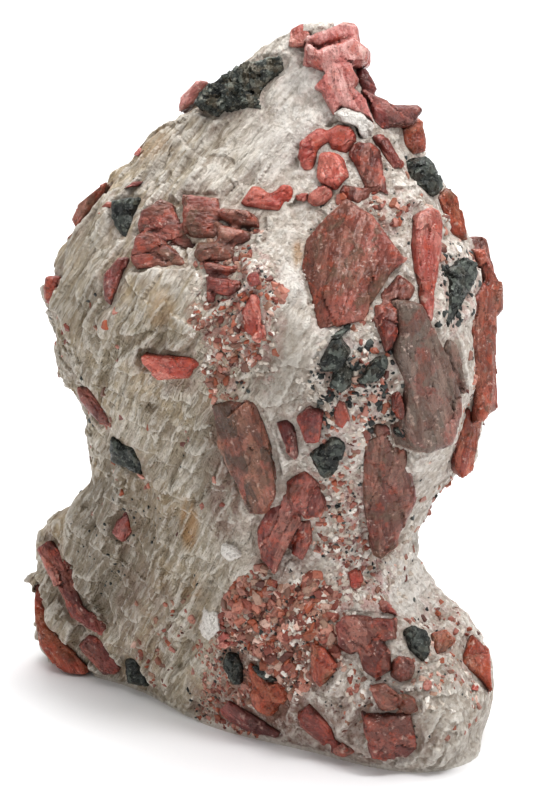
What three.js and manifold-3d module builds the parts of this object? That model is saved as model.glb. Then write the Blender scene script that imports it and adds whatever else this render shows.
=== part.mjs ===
// A rough rhodonite specimen: red and pink rhodonite crystals and black franklinite grains, set in a broken
// block of grey and white calcite that stands on its flat broken foot.
//
// The frame is in millimetres: +Z up, +X to the right and +Y away as the stone is seen from its front, with
// the origin under the middle of the stone on the surface that it stands on.
import * as THREE from "three";
import Module from "manifold-3d";

const wasm = await Module();
wasm.setup();

// Driving dimensions of the calcite
const SEGMENTS = 36; // mesh steps round the calcite
const RINGS = 28; // mesh steps up the calcite
const STEP_SCATTER = 0.45; // how far the mesh steps are moved about, as a share of a step
const LUMP_HEIGHT = 1.5; // broad swellings
const LUMP_SPAN = 17;
const PIT_HEIGHT = 0.8; // smaller pits and knobs
const PIT_SPAN = 7;
const LEDGE_SHARE = 0.5; // how far the surface is drawn onto the ledges
const LEDGE_STEPS = [5.5, 4.5, 8]; // spacing of the ledges along the three cleavage directions
const BACK_LEDGE_STEPS = [13, 11, 15]; // spacing of the broader breaks at the back
const BACK_START = 8; // how far back they begin, and over what length they reach their full height
const BACK_BLEND = 12;
const FOOT_BLEND = 5; // height over which the relief fades in above the foot
const TIP_BLEND = 7; // height over which it fades out below the tip

// Driving dimensions of the crystals
const GAP = 0.3; // air between a crystal and the socket that it sits in
const SOCKET_REACH = 7; // how far a socket's cut runs out in front of its crystal
const FOOT_CLEARANCE = 0.6; // lowest level of any crystal
const PROUD = 1.1; // height of a crystal's face over the calcite around it
const DEPTH = 5; // how deep a crystal runs inward from its face
const BEVEL = 0.7; // width of the broken edge round a face
const FACING = 0.35; // how far a face turns from the calcite's slope toward its view
const PROBE_SHARES = [0, 0.45, 0.85]; // where a seat is probed, as shares of the way out to its outline
const FEWEST_HITS = 5; // probes that must meet the calcite to seat a crystal
const LONGEST_PULL = 8; // how far in toward the middle the calcite is looked for
const FLARE = 0.6; // how much wider the crystals of a group are at their roots
const SHARPEST_REACH = 1.2; // limit of an offset at a sharp corner, against the offset itself
const SHORTEST_EDGE = 0.15; // share of its length that an edge keeps in an offset outline
const SMALLEST_OFFSET = 0.05;
const SMALLEST_WHOLE = 0.95; // least share of a crystal's volume that is one body
const FACET_CUT = 40; // size of the block that cuts a facet
const ABOVE_ALL = 200; // size of a block that is larger than the stone

// The stone is drawn from views that rise 18 degrees over the level and look at its mid height. A position
// in a view is across and up in millimetres, and VIEW_CENTRE is the one that the view looks at.
const VIEW_RISE = 18;
const VIEW_DISTANCE = 650;
const VIEW_TARGET = new THREE.Vector3(0, 0, 66.5);
const VIEW_CENTRE = [0, 74.4];

// Normals of the three cleavage planes of the calcite
const CLEAVAGE = [
  new THREE.Vector3(0.8, -0.35, -0.49).normalize(),
  new THREE.Vector3(-0.45, -0.8, 0.4).normalize(),
  new THREE.Vector3(0.25, -0.15, 0.95).normalize(),
];

// Outlines of the calcite at rising heights. Each starts at the left tip and runs round the front, the right
// side and the back, so that the points in one column make one line up the stone.
const SECTIONS = [
  {
    z: 0,
    outline: [
      [-44, 22], [-27, 9], [-11.5, -10.5], [7, -21.5], [28, -32.5],
      [42, -25], [40.5, 2], [26, 26], [-4, 34], [-31, 35],
    ],
  },
  {
    z: 4,
    outline: [
      [-47, 23], [-29, 8], [-13, -11], [7, -23.5], [30, -35.5],
      [43, -25], [42, 3], [28, 29], [-4, 37], [-35, 38],
    ],
  },
  {
    z: 10,
    outline: [
      [-49, 24], [-31, 7.5], [-14, -11.5], [6, -24.5], [31, -36.5],
      [44, -22], [42.5, 4], [28, 31], [-3, 39.5], [-38, 39],
    ],
  },
  {
    z: 18,
    outline: [
      [-48.8, 24], [-31, 7], [-14, -11.5], [5, -24.5], [28.5, -35],
      [43, -18], [39.5, 5], [25, 31], [-5, 39], [-38, 37],
    ],
  },
  {
    z: 26,
    outline: [
      [-46.8, 22], [-31, 5.5], [-14.5, -12], [4, -24], [25, -30.5],
      [38.5, -13], [35, 7], [22, 29.5], [-6, 37.5], [-36, 34],
    ],
  },
  {
    z: 33,
    outline: [
      [-44.4, 19], [-30, 3], [-14.5, -13], [3, -22.5], [21, -25.5],
      [32.3, -9], [30, 8], [20, 28], [-5, 36.5], [-32, 32],
    ],
  },
  {
    z: 40,
    outline: [
      [-40, 16], [-28, 0.5], [-14, -14], [2.5, -22], [18, -22.5],
      [30, -6], [27, 9], [18, 27], [-3, 36], [-28, 31],
    ],
  },
  {
    z: 47,
    outline: [
      [-35.5, 13], [-26.5, -2], [-14, -16], [2, -23], [19.5, -23.5],
      [34, -5], [30, 10], [19, 28], [-2, 36], [-25, 30],
    ],
  },
  {
    z: 55,
    outline: [
      [-36, 12], [-27.5, -4.5], [-15, -18], [2, -25.5], [23, -26],
      [41, -5], [36, 12], [22, 30], [-3, 37], [-26, 28],
    ],
  },
  {
    z: 63,
    outline: [
      [-38.8, 11], [-31, -7], [-17, -20], [1, -28], [27, -29],
      [42.6, -5], [39, 14], [25, 31.5], [-5, 38], [-30, 27],
    ],
  },
  {
    z: 72,
    outline: [
      [-41.8, 10], [-34, -8], [-19, -22], [1, -30], [29, -31],
      [43, -5], [41, 16], [27, 33], [-6, 39], [-33, 28],
    ],
  },
  {
    z: 80,
    outline: [
      [-42.3, 9], [-36, -9], [-20, -23], [1, -31], [30, -32],
      [43.5, -5], [42, 16], [27, 33], [-8, 38.5], [-35, 28],
    ],
  },
  {
    z: 87,
    outline: [
      [-44.8, 8], [-37, -9], [-21, -24], [1, -31.5], [30, -31],
      [43.8, -4], [41, 16], [25, 32], [-11, 37], [-36, 28],
    ],
  },
  {
    z: 94,
    outline: [
      [-41.5, 9], [-35.5, -8], [-21, -23], [1, -30], [29, -28],
      [44, -3], [39, 16], [23, 31], [-12, 34], [-34, 26],
    ],
  },
  {
    z: 101,
    outline: [
      [-39, 10], [-33, -4], [-19, -19], [2, -26], [27, -24],
      [40.2, -2], [36, 15], [22, 30], [-12, 33], [-30, 24],
    ],
  },
  {
    z: 108,
    outline: [
      [-33, 12], [-27, 0], [-14, -13], [3, -20], [25, -19],
      [36.5, -1], [33, 14], [21, 27.5], [-10, 30], [-24, 21],
    ],
  },
  {
    z: 115,
    outline: [
      [-25.8, 13], [-20, 3], [-8, -8], [6, -14], [23, -15],
      [31.5, 0], [29, 13], [19, 24], [-6, 27], [-17, 20],
    ],
  },
  {
    z: 122,
    outline: [
      [-18.6, 13], [-12, 5], [-2, -3], [8, -9], [20, -10],
      [26.8, 1], [24, 12], [16, 21], [-2, 23.5], [-11, 18],
    ],
  },
  {
    z: 129,
    outline: [
      [-10, 12], [-5, 6], [3, 0], [10, -5], [16.5, -6],
      [19, 1], [17.5, 10], [13.5, 17], [2, 20], [-4, 16.5],
    ],
  },
  {
    z: 135,
    outline: [
      [-0.5, 10], [2.5, 6], [7, 2], [12, -2], [15.5, -3],
      [17, 2], [16, 8], [12.5, 12.5], [7, 13.5], [2, 13],
    ],
  },
  {
    z: 140,
    outline: [
      [5.4, 8], [7.4, 5], [9.5, 2.5], [13, 0.5], [15.5, 0],
      [16.7, 3], [16, 7], [13.5, 9.5], [9.5, 11], [6.5, 10.5],
    ],
  },
  {
    z: 141.8,
    outline: [
      [8, 6], [10, 4.5], [12, 3.5], [14, 3], [15.3, 3],
      [15.8, 4.5], [15.3, 6.5], [14, 8], [12, 8.5], [9.5, 8],
    ],
  },
];

// Crystals and grains. Each is one body: the crystals listed in it have grown together, and those with the
// view "front" are drawn from the front of the stone. An outline is the edge of a crystal's face.
const CRYSTALS = [
  {
    name: "rhodonite_shield",
    colour: "brown",
    pieces: [
      {
        outline: [
          [16, 114.8], [21, 111.2], [27.8, 102.8], [25.2, 100.6], [19.4, 90.8], [10.7, 88.8],
          [7.3, 101.5], [8, 107],
        ],
        proud: 2.6,
        depth: 9,
        facets: [
          { from: [14, 100], toward: [-1, -0.1], slope: 20 },
          { from: [17, 97], toward: [0.5, -1], slope: 10 },
        ],
      },
    ],
  },
  {
    name: "rhodonite_slab",
    colour: "grey",
    pieces: [
      {
        outline: [
          [27.8, 93.5], [31.6, 93.5], [39.4, 76.5], [39.4, 71.6], [37.4, 65.6], [33.1, 63.6],
          [30.1, 64.6], [28.5, 68.3], [28.8, 77.9], [26.8, 83.2],
        ],
        proud: 2.2,
        depth: 8,
        facets: [{ from: [33.5, 78], toward: [1, 0.3], slope: 14 }],
      },
      {
        outline: [[35.8, 84.6], [36.8, 86.2], [38.2, 85.8], [40.6, 76.5], [39.8, 75.6]],
        proud: 1.4,
      },
    ],
  },
  {
    name: "rhodonite_long_blade",
    colour: "grey",
    pieces: [
      {
        outline: [
          [21.5, 69.2], [25, 69.6], [28, 65.5], [30, 54], [26, 44.8], [23, 42.6], [21.7, 43],
          [20.2, 52.5], [20, 65],
        ],
        proud: 2.4,
        depth: 8,
        facets: [{ from: [23.2, 58], toward: [-1, 0], slope: 24 }],
      },
    ],
  },
  {
    name: "rhodonite_column",
    colour: "brick",
    pieces: [
      {
        outline: [[41, 95], [44, 98], [46, 96], [46.9, 73], [43.2, 70.3], [40.6, 89]],
        proud: 1.5,
        depth: 9,
        facing: 0.6,
        facets: [{ from: [44.6, 85], toward: [1, 0], slope: 30 }],
      },
      {
        outline: [[42.3, 104.3], [43.8, 104.2], [47.2, 97.5], [47.5, 92.5], [46.2, 91.2]],
        depth: 7,
        facing: 0.6,
      },
    ],
  },
  {
    name: "rhodonite_brow",
    colour: "brown",
    pieces: [
      {
        outline: [
          [-27.2, 103.5], [-26.6, 107], [-24.5, 108.6], [-22, 107.7], [-18, 104.4], [-16.3, 101.5],
          [-23, 101.2], [-26, 102],
        ],
        proud: 2.2,
        depth: 6,
        facets: [{ from: [-22.5, 104.8], toward: [-0.3, -1], slope: 14 }],
      },
      {
        outline: [
          [-25.8, 109.6], [-25, 112.5], [-21.3, 114.6], [-19.2, 113.8], [-17, 108.4], [-15, 106.2],
          [-15, 104.4], [-18, 105.3], [-22, 108.8],
        ],
        proud: 2.6,
        depth: 6,
        facets: [{ from: [-20, 109], toward: [0.6, -1], slope: 16 }],
      },
      {
        outline: [[-16.8, 115.5], [-9.9, 115], [-10, 107], [-15, 107.6], [-16.6, 109.2]],
        proud: 2.4,
        depth: 6,
        facets: [{ from: [-13.5, 111], toward: [1, 0], slope: 12 }],
      },
      {
        outline: [[-9.9, 111.8], [-9.2, 113], [-4, 112.4], [-2.2, 111], [-2, 109.6], [-7, 110]],
        proud: 2,
      },
      {
        outline: [[-9.7, 109.4], [-3.6, 108.4], [-3.6, 107], [-5, 106], [-9.7, 106.6]],
        proud: 1.8,
      },
      {
        outline: [[-13.8, 106], [-10, 106.2], [-6.6, 105.2], [-6.8, 102.4], [-13.2, 102.8], [-14.4, 104]],
        proud: 1.4,
      },
    ],
  },
  {
    name: "rhodonite_crown",
    colour: "salmon",
    pieces: [
      {
        outline: [
          [8.2, 145.5], [10.2, 144.2], [17.5, 146.8], [20.2, 144.6], [20.1, 142.5], [18.6, 141.6],
          [14.5, 141.8], [11, 140.6], [8.2, 142.3],
        ],
        proud: 1.6,
        depth: 7,
        facing: 0.6,
        facets: [{ from: [15, 143], toward: [0, -1], slope: 20 }],
      },
      {
        outline: [[8, 146.8], [15.5, 149.8], [17.8, 149.4], [18.2, 147], [10, 145.2]],
        depth: 7,
        facing: 0.6,
        facets: [{ from: [12, 147.4], toward: [0, 1], slope: 22 }],
      },
      {
        outline: [[13.5, 141.6], [16.5, 141.5], [18, 139], [13.6, 132], [11.5, 136.5], [9.8, 137.5]],
        proud: 1.8,
        depth: 7,
        facets: [{ from: [14.5, 137.5], toward: [-1, 0], slope: 16 }],
      },
      {
        outline: [[15.1, 136.5], [17.2, 136.6], [19.8, 134.8], [21.4, 130.4], [15, 133.4]],
        depth: 7,
      },
    ],
  },
  {
    name: "rhodonite_crown_shoulder",
    colour: "maroon",
    pieces: [
      {
        outline: [
          [19.5, 136.6], [25.5, 133.6], [30.5, 133.4], [31.5, 132.6], [30, 130.4], [26, 130],
          [23.5, 128.7], [21.8, 130.4],
        ],
        proud: 2,
        depth: 7,
        facing: 0.6,
        facets: [{ from: [25, 132], toward: [0.2, -1], slope: 18 }],
      },
      {
        outline: [
          [18.6, 141.4], [20.2, 140.6], [22.3, 136.8], [21.6, 135.4], [20.2, 135.8], [18.6, 138.4],
        ],
        proud: 1.2,
        depth: 6,
        facing: 0.6,
      },
    ],
  },
  {
    name: "rhodonite_finger_right",
    colour: "salmon",
    pieces: [
      {
        outline: [
          [31, 111.5], [33, 112.9], [35, 112.3], [35.6, 109.5], [33.6, 90.5], [32, 89.5], [30, 106],
        ],
        proud: 2.6,
        depth: 6,
        facets: [{ from: [34, 103], toward: [1, 0], slope: 22 }],
      },
    ],
  },
  {
    name: "rhodonite_prism",
    colour: "brown",
    pieces: [
      {
        outline: [
          [-11.1, 72.8], [-7.5, 74.3], [-2.4, 73.8], [0.7, 62.6], [1.2, 54.4], [-0.4, 51.4],
          [-3.4, 51.4], [-9.6, 64.6],
        ],
        proud: 2.6,
        depth: 8,
        facets: [
          { from: [-5, 63], toward: [-1, -0.3], slope: 16 },
          { from: [-1.6, 63], toward: [1, 0.2], slope: 24 },
        ],
      },
    ],
  },
  {
    name: "rhodonite_fork",
    colour: "brick",
    pieces: [
      {
        outline: [[2.2, 56.4], [5, 58], [6.6, 54.4], [6.2, 50.4], [1.6, 38.8], [-1, 42.4], [-1.8, 47.4]],
        proud: 2,
        depth: 7,
        facets: [{ from: [2.4, 49], toward: [-1, 0.2], slope: 15 }],
      },
      {
        outline: [[4, 57.6], [7.8, 60.6], [9.8, 57.4], [11.4, 53.4], [10.4, 50.8], [7.8, 50.8], [5.2, 52.6]],
        proud: 2.2,
        depth: 7,
        facets: [{ from: [8, 56], toward: [1, 0.2], slope: 16 }],
      },
      {
        outline: [[6.2, 50.4], [8.6, 50.4], [8.8, 46.2], [7, 42.2], [4.9, 43.4]],
        proud: 1.4,
        depth: 6,
      },
    ],
  },
  {
    name: "rhodonite_right_shoulder",
    colour: "orange",
    pieces: [
      {
        outline: [[33.8, 115], [36.5, 116.8], [38.5, 115], [40.3, 106.6], [37, 107]],
        depth: 8,
        facing: 0.6,
      },
    ],
  },
  {
    name: "rhodonite_knob",
    colour: "orange",
    pieces: [
      {
        outline: [
          [39.9, 73.4], [42.5, 72.6], [43.4, 69.4], [41.7, 60], [39.7, 58.6], [38.1, 60.6],
          [37.7, 64.6],
        ],
        depth: 8,
        facing: 0.6,
        facets: [{ from: [40.6, 67], toward: [1, -0.2], slope: 24 }],
      },
    ],
  },
  {
    name: "rhodonite_crown_corner",
    colour: "orange",
    pieces: [
      {
        outline: [[26.2, 128.9], [30.5, 130.6], [31.5, 129.8], [32, 124.6], [29, 123.8], [27.5, 125]],
        proud: 1.4,
        depth: 7,
        facing: 0.6,
      },
    ],
  },
  {
    name: "rhodonite_finger_long",
    colour: "brick",
    pieces: [
      {
        outline: [[18.2, 126], [20.8, 126.1], [22.2, 124.8], [24.4, 115.5], [20.3, 116.2], [16.8, 123.8]],
        proud: 1.8,
        facets: [{ from: [21, 121], toward: [1, 0.2], slope: 18 }],
      },
      {
        outline: [[14.4, 116.2], [15.4, 117.6], [20.4, 116.9], [20.6, 115], [18, 113.2]],
      },
    ],
  },
  {
    name: "rhodonite_finger_slim",
    colour: "brick",
    pieces: [
      {
        outline: [[21.5, 127.5], [23.2, 127.8], [24.9, 127], [27.8, 121.5], [25.8, 120.5]],
        proud: 1.6,
      },
    ],
  },
  {
    name: "rhodonite_fingers",
    colour: "coral",
    pieces: [
      {
        outline: [
          [7, 126], [10.5, 128.6], [11.8, 128], [12, 126.5], [10, 125], [9, 120.6], [7.8, 120.6],
          [6.4, 123.8],
        ],
      },
      {
        outline: [[12.2, 128], [14.5, 129.4], [16.8, 128.8], [17.8, 127], [16.2, 123.6], [13.2, 125]],
      },
    ],
  },
  {
    name: "rhodonite_finger_stub",
    colour: "coral",
    pieces: [
      {
        outline: [[11, 123.8], [13.5, 124], [15.2, 123], [16.4, 119.4], [13.8, 116.8], [10.4, 118.8]],
        proud: 1.6,
      },
    ],
  },
  {
    name: "rhodonite_top_nub",
    colour: "salmon",
    pieces: [
      {
        outline: [[-17.6, 135.2], [-14.2, 138.1], [-11.9, 138.1], [-14.9, 133.8], [-17.6, 132.2]],
        depth: 6,
        facing: 0.6,
      },
    ],
  },
  {
    name: "rhodonite_left_brow",
    colour: "brown",
    pieces: [
      {
        outline: [[-39.1, 110.6], [-37.8, 113.6], [-32.2, 118.1], [-32.8, 116.2], [-38.1, 108.6]],
        depth: 6,
        facing: 0.6,
      },
    ],
  },
  {
    name: "rhodonite_flame",
    colour: "coral",
    pieces: [
      {
        outline: [[-5.3, 114.2], [-3, 117.3], [-1.8, 117.3], [3, 113.8], [2.4, 112.5], [-4.5, 113.2]],
      },
      {
        outline: [[0.2, 115.2], [3, 117.6], [4.6, 117.4], [5.2, 116.4], [4.4, 114.4], [2, 113.8]],
      },
    ],
  },
  {
    name: "rhodonite_tablets",
    colour: "brick",
    pieces: [
      {
        outline: [[-12.8, 102.4], [-6.2, 101.4], [-6, 99.8], [-9, 99.5], [-12.6, 100.1]],
      },
      {
        outline: [[-12.4, 99.4], [-5.4, 98.6], [-5.8, 97], [-7.8, 95.8], [-12.4, 97]],
      },
      {
        outline: [[-12.4, 96.6], [-11.2, 96.2], [-10.2, 95.5], [-10.4, 94.2], [-12.2, 94.2]],
        proud: 0.7,
      },
    ],
  },
  {
    name: "rhodonite_oval",
    colour: "salmon",
    pieces: [
      {
        outline: [[-4.7, 92], [-3.2, 95.3], [-2, 95.2], [-0.7, 87.5], [-1.6, 86.3], [-4.4, 88.5]],
        depth: 4,
      },
    ],
  },
  {
    name: "rhodonite_spindle",
    colour: "coral",
    pieces: [
      {
        outline: [[-25.6, 83], [-15.8, 82.2], [-14.4, 81.2], [-16, 78.6], [-22, 78.4], [-25.4, 81.6]],
        proud: 2.6,
        bevel: 1.3,
        facets: [{ from: [-20, 81], toward: [0, 1], slope: 20 }],
      },
    ],
  },
  {
    name: "rhodonite_left_drop",
    colour: "maroon",
    pieces: [
      {
        outline: [[-32.8, 99.8], [-29.8, 103.1], [-28.2, 103.1], [-31.5, 94.1], [-32.5, 95.1]],
        proud: 1.8,
      },
    ],
  },
  {
    name: "rhodonite_left_rim",
    colour: "orange",
    pieces: [
      {
        outline: [[-44.8, 96.4], [-44.3, 99.1], [-41.4, 99.3], [-42.8, 93.1], [-44.6, 94.2]],
        depth: 6,
        facing: 0.6,
      },
    ],
  },
  {
    name: "rhodonite_left_low",
    colour: "brick",
    pieces: [
      {
        outline: [
          [-38.1, 76.6], [-35.5, 76.6], [-31.5, 70.6], [-31.5, 69.3], [-33.8, 69.6], [-37.5, 74.2],
        ],
        proud: 1.6,
        facing: 0.5,
      },
    ],
  },
  {
    name: "rhodonite_neck_chip",
    colour: "maroon",
    pieces: [
      {
        outline: [[-31.2, 47.8], [-30.5, 49.8], [-27.7, 52.4], [-27.5, 48.1], [-29.2, 46]],
      },
    ],
  },
  {
    name: "rhodonite_toe_band",
    colour: "brick",
    pieces: [
      {
        outline: [
          [-46.1, 44.5], [-44.1, 46.1], [-39.6, 41.2], [-37.5, 33.2], [-32.4, 29], [-33.2, 27.2],
          [-39.1, 30.6],
        ],
        proud: 1.8,
        depth: 6,
        facets: [{ from: [-41, 37], toward: [1, 0.7], slope: 26 }],
      },
    ],
  },
  {
    name: "rhodonite_toe_tip",
    colour: "brick",
    pieces: [
      {
        outline: [
          [-38.1, 24.9], [-36.1, 26.6], [-33.2, 25.9], [-29.8, 20.3], [-30.5, 19.4], [-32.8, 19.4],
        ],
        proud: 1.8,
        facets: [{ from: [-33.4, 23.4], toward: [1, 1], slope: 30 }],
      },
    ],
  },
  {
    name: "rhodonite_toe_edge",
    colour: "orange",
    pieces: [
      {
        outline: [
          [-47.2, 37.9], [-45.8, 37.2], [-42.8, 27.6], [-35.6, 20.4], [-36.4, 18.6], [-38.1, 18.4],
          [-41.8, 20.6], [-45.6, 25.3],
        ],
        proud: 1.6,
        depth: 6,
        facing: 0.6,
        facets: [{ from: [-42, 25], toward: [1, 1], slope: 24 }],
      },
    ],
  },
  {
    name: "rhodonite_brick",
    colour: "brick",
    pieces: [
      {
        outline: [[13.9, 29.8], [15.8, 31], [25, 30.2], [25, 27], [16.6, 24], [14.3, 25.4]],
        proud: 2.2,
        depth: 6,
        facets: [{ from: [20, 27.6], toward: [0, -1], slope: 15 }],
      },
      {
        outline: [[18.2, 24.8], [22.6, 26.6], [24.4, 24.2], [24.6, 20.5], [21.5, 18.8], [19.4, 20.4]],
        proud: 1.6,
        depth: 6,
      },
    ],
  },
  {
    name: "rhodonite_square",
    colour: "brick",
    pieces: [
      {
        outline: [[19, 10.8], [28.5, 11.2], [29.7, 6], [29.3, 3.3], [27.7, 2.1], [21, 2.5]],
        proud: 2,
        depth: 6,
        facets: [{ from: [24.6, 7], toward: [1, -0.3], slope: 18 }],
      },
    ],
  },
  {
    name: "rhodonite_tail",
    colour: "brown",
    pieces: [
      {
        outline: [[20.6, 17.1], [23.4, 17.5], [27.3, 14.7], [25.4, 12.9], [23, 12.5]],
        proud: 1.6,
      },
      {
        outline: [[27.5, 15.2], [29.3, 14.3], [29.7, 12.2], [28.1, 11.8], [26.9, 12.6]],
        proud: 1.2,
      },
    ],
  },
  {
    name: "rhodonite_foot_drop",
    colour: "brick",
    pieces: [
      {
        outline: [
          [25.7, 22.2], [26.9, 23.4], [28.5, 23.4], [29.7, 21.4], [29.3, 19.1], [27.3, 18.5],
          [25.7, 19.9],
        ],
        proud: 1.6,
      },
    ],
  },
  {
    name: "rhodonite_orange_wedge",
    colour: "orange",
    pieces: [
      {
        outline: [[33.6, 27.8], [36, 28.4], [38, 26.6], [36, 24.6], [34, 23.2]],
        proud: 1.4,
      },
    ],
  },
  {
    name: "rhodonite_right_rim",
    colour: "salmon",
    pieces: [
      {
        outline: [[38.8, 21.6], [41.6, 27.8], [44.7, 24.6], [45.5, 16], [43.5, 18.6]],
        depth: 6,
        facing: 0.5,
      },
    ],
  },
  {
    name: "rhodonite_foot_right_wedge",
    colour: "orange",
    pieces: [
      {
        outline: [[8.7, 25.4], [11.1, 24.6], [13.9, 21], [10.3, 17.1], [9.1, 18.7]],
        proud: 1.6,
        facets: [{ from: [10.8, 21.4], toward: [-1, 0], slope: 18 }],
      },
    ],
  },
  {
    name: "rhodonite_foot_left_wedge",
    colour: "orange",
    pieces: [
      {
        outline: [[-3.5, 15.5], [-0.4, 17.1], [2.4, 17.1], [4, 15.1], [-0.4, 10.8], [-3.1, 13.1]],
        proud: 2,
        facets: [{ from: [0.4, 14.6], toward: [0.3, -1], slope: 20 }],
      },
      {
        outline: [[-3.9, 21.4], [-1.6, 20.3], [0.4, 17.7], [-3.3, 16.3]],
        proud: 1,
      },
    ],
  },
  {
    name: "rhodonite_foot_dark_prism",
    colour: "maroon",
    pieces: [
      {
        outline: [[-9.8, 12], [-7.9, 14], [2.4, 7.6], [1.6, 6.4], [-5.5, 8], [-9.1, 10.2]],
        proud: 1.8,
        depth: 5,
        facets: [{ from: [-4.4, 11], toward: [-0.4, -1], slope: 24 }],
      },
    ],
  },
  {
    name: "rhodonite_foot_mid_prism",
    colour: "brick",
    pieces: [
      {
        outline: [[5.6, 10.8], [8, 12.8], [12.7, 8.4], [13.1, 6.4], [11.1, 4.8], [6.4, 8.8]],
        proud: 1.8,
      },
      {
        outline: [[12.7, 5.6], [15, 5], [17, 3.5], [15, 2.7], [12.5, 3.5]],
        proud: 1,
      },
    ],
  },
  {
    name: "rhodonite_purple_finger",
    colour: "maroon",
    pieces: [
      {
        outline: [[1.9, 69.6], [3.9, 70.2], [5.2, 68.9], [5.6, 62.3], [3.9, 63.9]],
        proud: 1.8,
      },
    ],
  },
  {
    name: "rhodonite_maroon",
    colour: "maroon",
    pieces: [
      {
        outline: [[5.8, 70.4], [8.2, 72.6], [10.9, 71.6], [10.2, 65.8], [7.6, 65.5]],
        proud: 1.4,
      },
    ],
  },
  {
    name: "rhodonite_red_wedge",
    colour: "brick",
    pieces: [
      {
        outline: [[21.8, 93.4], [27, 93.4], [27.2, 88], [24, 84.4], [22.4, 89]],
        proud: 1.4,
      },
      {
        outline: [[22.6, 96.6], [26.6, 99.5], [29.2, 97.2], [27.4, 92.4], [23, 91.8]],
        proud: 1,
      },
    ],
  },
  {
    name: "franklinite_top",
    colour: "black",
    pieces: [
      {
        outline: [
          [-14.6, 133.8], [-11.7, 137.5], [-6.3, 141.1], [-1.3, 142.8], [2.6, 142.4], [3.2, 140.8],
          [-0.4, 138.4], [-1, 135.4], [0, 132.4], [-4.2, 133], [-10.4, 131.8],
        ],
        proud: 1.8,
        depth: 7,
        facing: 0.55,
        facets: [{ from: [-7, 136.5], toward: [-0.4, 1], slope: 16 }],
      },
    ],
  },
  {
    name: "franklinite_shoulder",
    colour: "black",
    pieces: [
      {
        outline: [
          [28.2, 121.9], [29.5, 123.2], [32.8, 123.2], [34.2, 121.8], [35.8, 117.4], [34.5, 116],
          [31.5, 116.5], [28.2, 118.8],
        ],
        proud: 3,
        depth: 8,
        bevel: 1.4,
        facing: 0.55,
        facets: [{ from: [31.5, 119.5], toward: [-0.6, -1], slope: 20 }],
      },
    ],
  },
  {
    name: "franklinite_right",
    colour: "black",
    pieces: [
      {
        outline: [
          [36.3, 100.3], [39.9, 102.9], [42.2, 102], [43.2, 99.8], [36.5, 89], [35.7, 90.5],
          [37.2, 98.5],
        ],
        proud: 1.6,
        depth: 6,
        facets: [{ from: [39.4, 98], toward: [1, -0.4], slope: 20 }],
      },
    ],
  },
  {
    name: "franklinite_centre",
    colour: "black",
    pieces: [
      {
        outline: [[8.8, 62.6], [12.9, 66.3], [14.9, 66.3], [15.5, 64.3], [13.2, 58.6], [11.3, 57.8]],
        proud: 1.8,
        facets: [{ from: [12, 62], toward: [-0.6, -1], slope: 20 }],
      },
    ],
  },
  {
    name: "franklinite_pair_left",
    colour: "black",
    pieces: [
      {
        outline: [[11, 81.2], [13, 85], [14.5, 85.8], [16.4, 83.5], [15.2, 80.7], [12, 80]],
        proud: 2,
      },
      {
        outline: [[14.2, 80.4], [16.4, 80.6], [17.4, 79.7], [16.5, 76.9], [14.5, 75.9], [12.8, 76.9]],
        proud: 1.2,
      },
    ],
  },
  {
    name: "franklinite_pair_right",
    colour: "black",
    pieces: [
      {
        outline: [[18.4, 77.9], [21.8, 82.5], [23.8, 83.2], [24.1, 81.2], [23.1, 79.2], [20.5, 77.7]],
        proud: 1.8,
      },
    ],
  },
  {
    name: "franklinite_left_brow",
    colour: "black",
    pieces: [
      {
        outline: [[-31.2, 114.3], [-25.7, 115.3], [-27, 111.6], [-27.9, 106.4], [-30.8, 109.6]],
        proud: 1.4,
      },
    ],
  },
  {
    name: "franklinite_left_neck",
    colour: "black",
    pieces: [
      {
        outline: [[-31.5, 66.3], [-28.2, 64.9], [-26.8, 65.3], [-25.2, 62], [-25.5, 59.3], [-31.5, 62]],
        proud: 1.4,
      },
    ],
  },
  {
    name: "franklinite_toe",
    colour: "black",
    pieces: [
      {
        outline: [[-28.5, 22], [-26.5, 22.6], [-24.2, 19.3], [-23.9, 17], [-28.2, 17.6]],
        proud: 1.2,
      },
    ],
  },
  {
    name: "franklinite_low",
    colour: "black",
    pieces: [
      {
        outline: [[-9.1, 21.4], [-7.9, 23.4], [-5.9, 23.4], [-5.1, 21], [-5.5, 17.5], [-7.1, 17.5]],
        proud: 1.6,
      },
    ],
  },
  {
    name: "franklinite_right_low",
    colour: "black",
    pieces: [
      {
        outline: [
          [28.2, 28.6], [29.3, 29.2], [32, 28.4], [33, 26.6], [32.8, 23.8], [31.7, 22.4], [28.9, 25.4],
        ],
        proud: 1.6,
      },
    ],
  },
  {
    name: "rhodonite_side_group",
    colour: "brick",
    view: "right",
    pieces: [
      {
        outline: [[7, 86], [10, 92], [15, 91], [19, 82], [15, 73], [9, 76]],
        proud: 2.2,
        depth: 7,
        facets: [{ from: [13, 83], toward: [1, -0.2], slope: 18 }],
      },
      {
        outline: [[16, 83], [21, 82], [24, 73], [20, 67], [15.6, 72.4]],
        proud: 1.6,
        depth: 7,
        facets: [{ from: [19.5, 75], toward: [0.3, 1], slope: 14 }],
      },
    ],
  },
  {
    name: "rhodonite_back_group",
    colour: "salmon",
    view: "back",
    pieces: [
      {
        outline: [[-15, 109], [-11, 116], [-4, 117], [0, 112], [-2, 104], [-10, 102]],
        proud: 2.4,
        depth: 8,
        facets: [{ from: [-7, 110], toward: [-1, 0.4], slope: 16 }],
      },
      {
        outline: [[-1, 113], [6, 115], [11, 109], [8, 102], [-2, 104.6]],
        proud: 2,
        depth: 7,
        facets: [{ from: [4, 108], toward: [0.5, -1], slope: 15 }],
      },
      {
        outline: [[-12, 103], [-4, 104], [-3, 96], [-9, 92], [-14, 97]],
        proud: 1.8,
        depth: 7,
      },
    ],
  },
  {
    name: "rhodonite_back_blade",
    colour: "brown",
    view: "back",
    pieces: [
      {
        outline: [[-21, 66], [-15, 69], [-12, 58], [-10, 42], [-15, 38], [-19, 46]],
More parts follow.
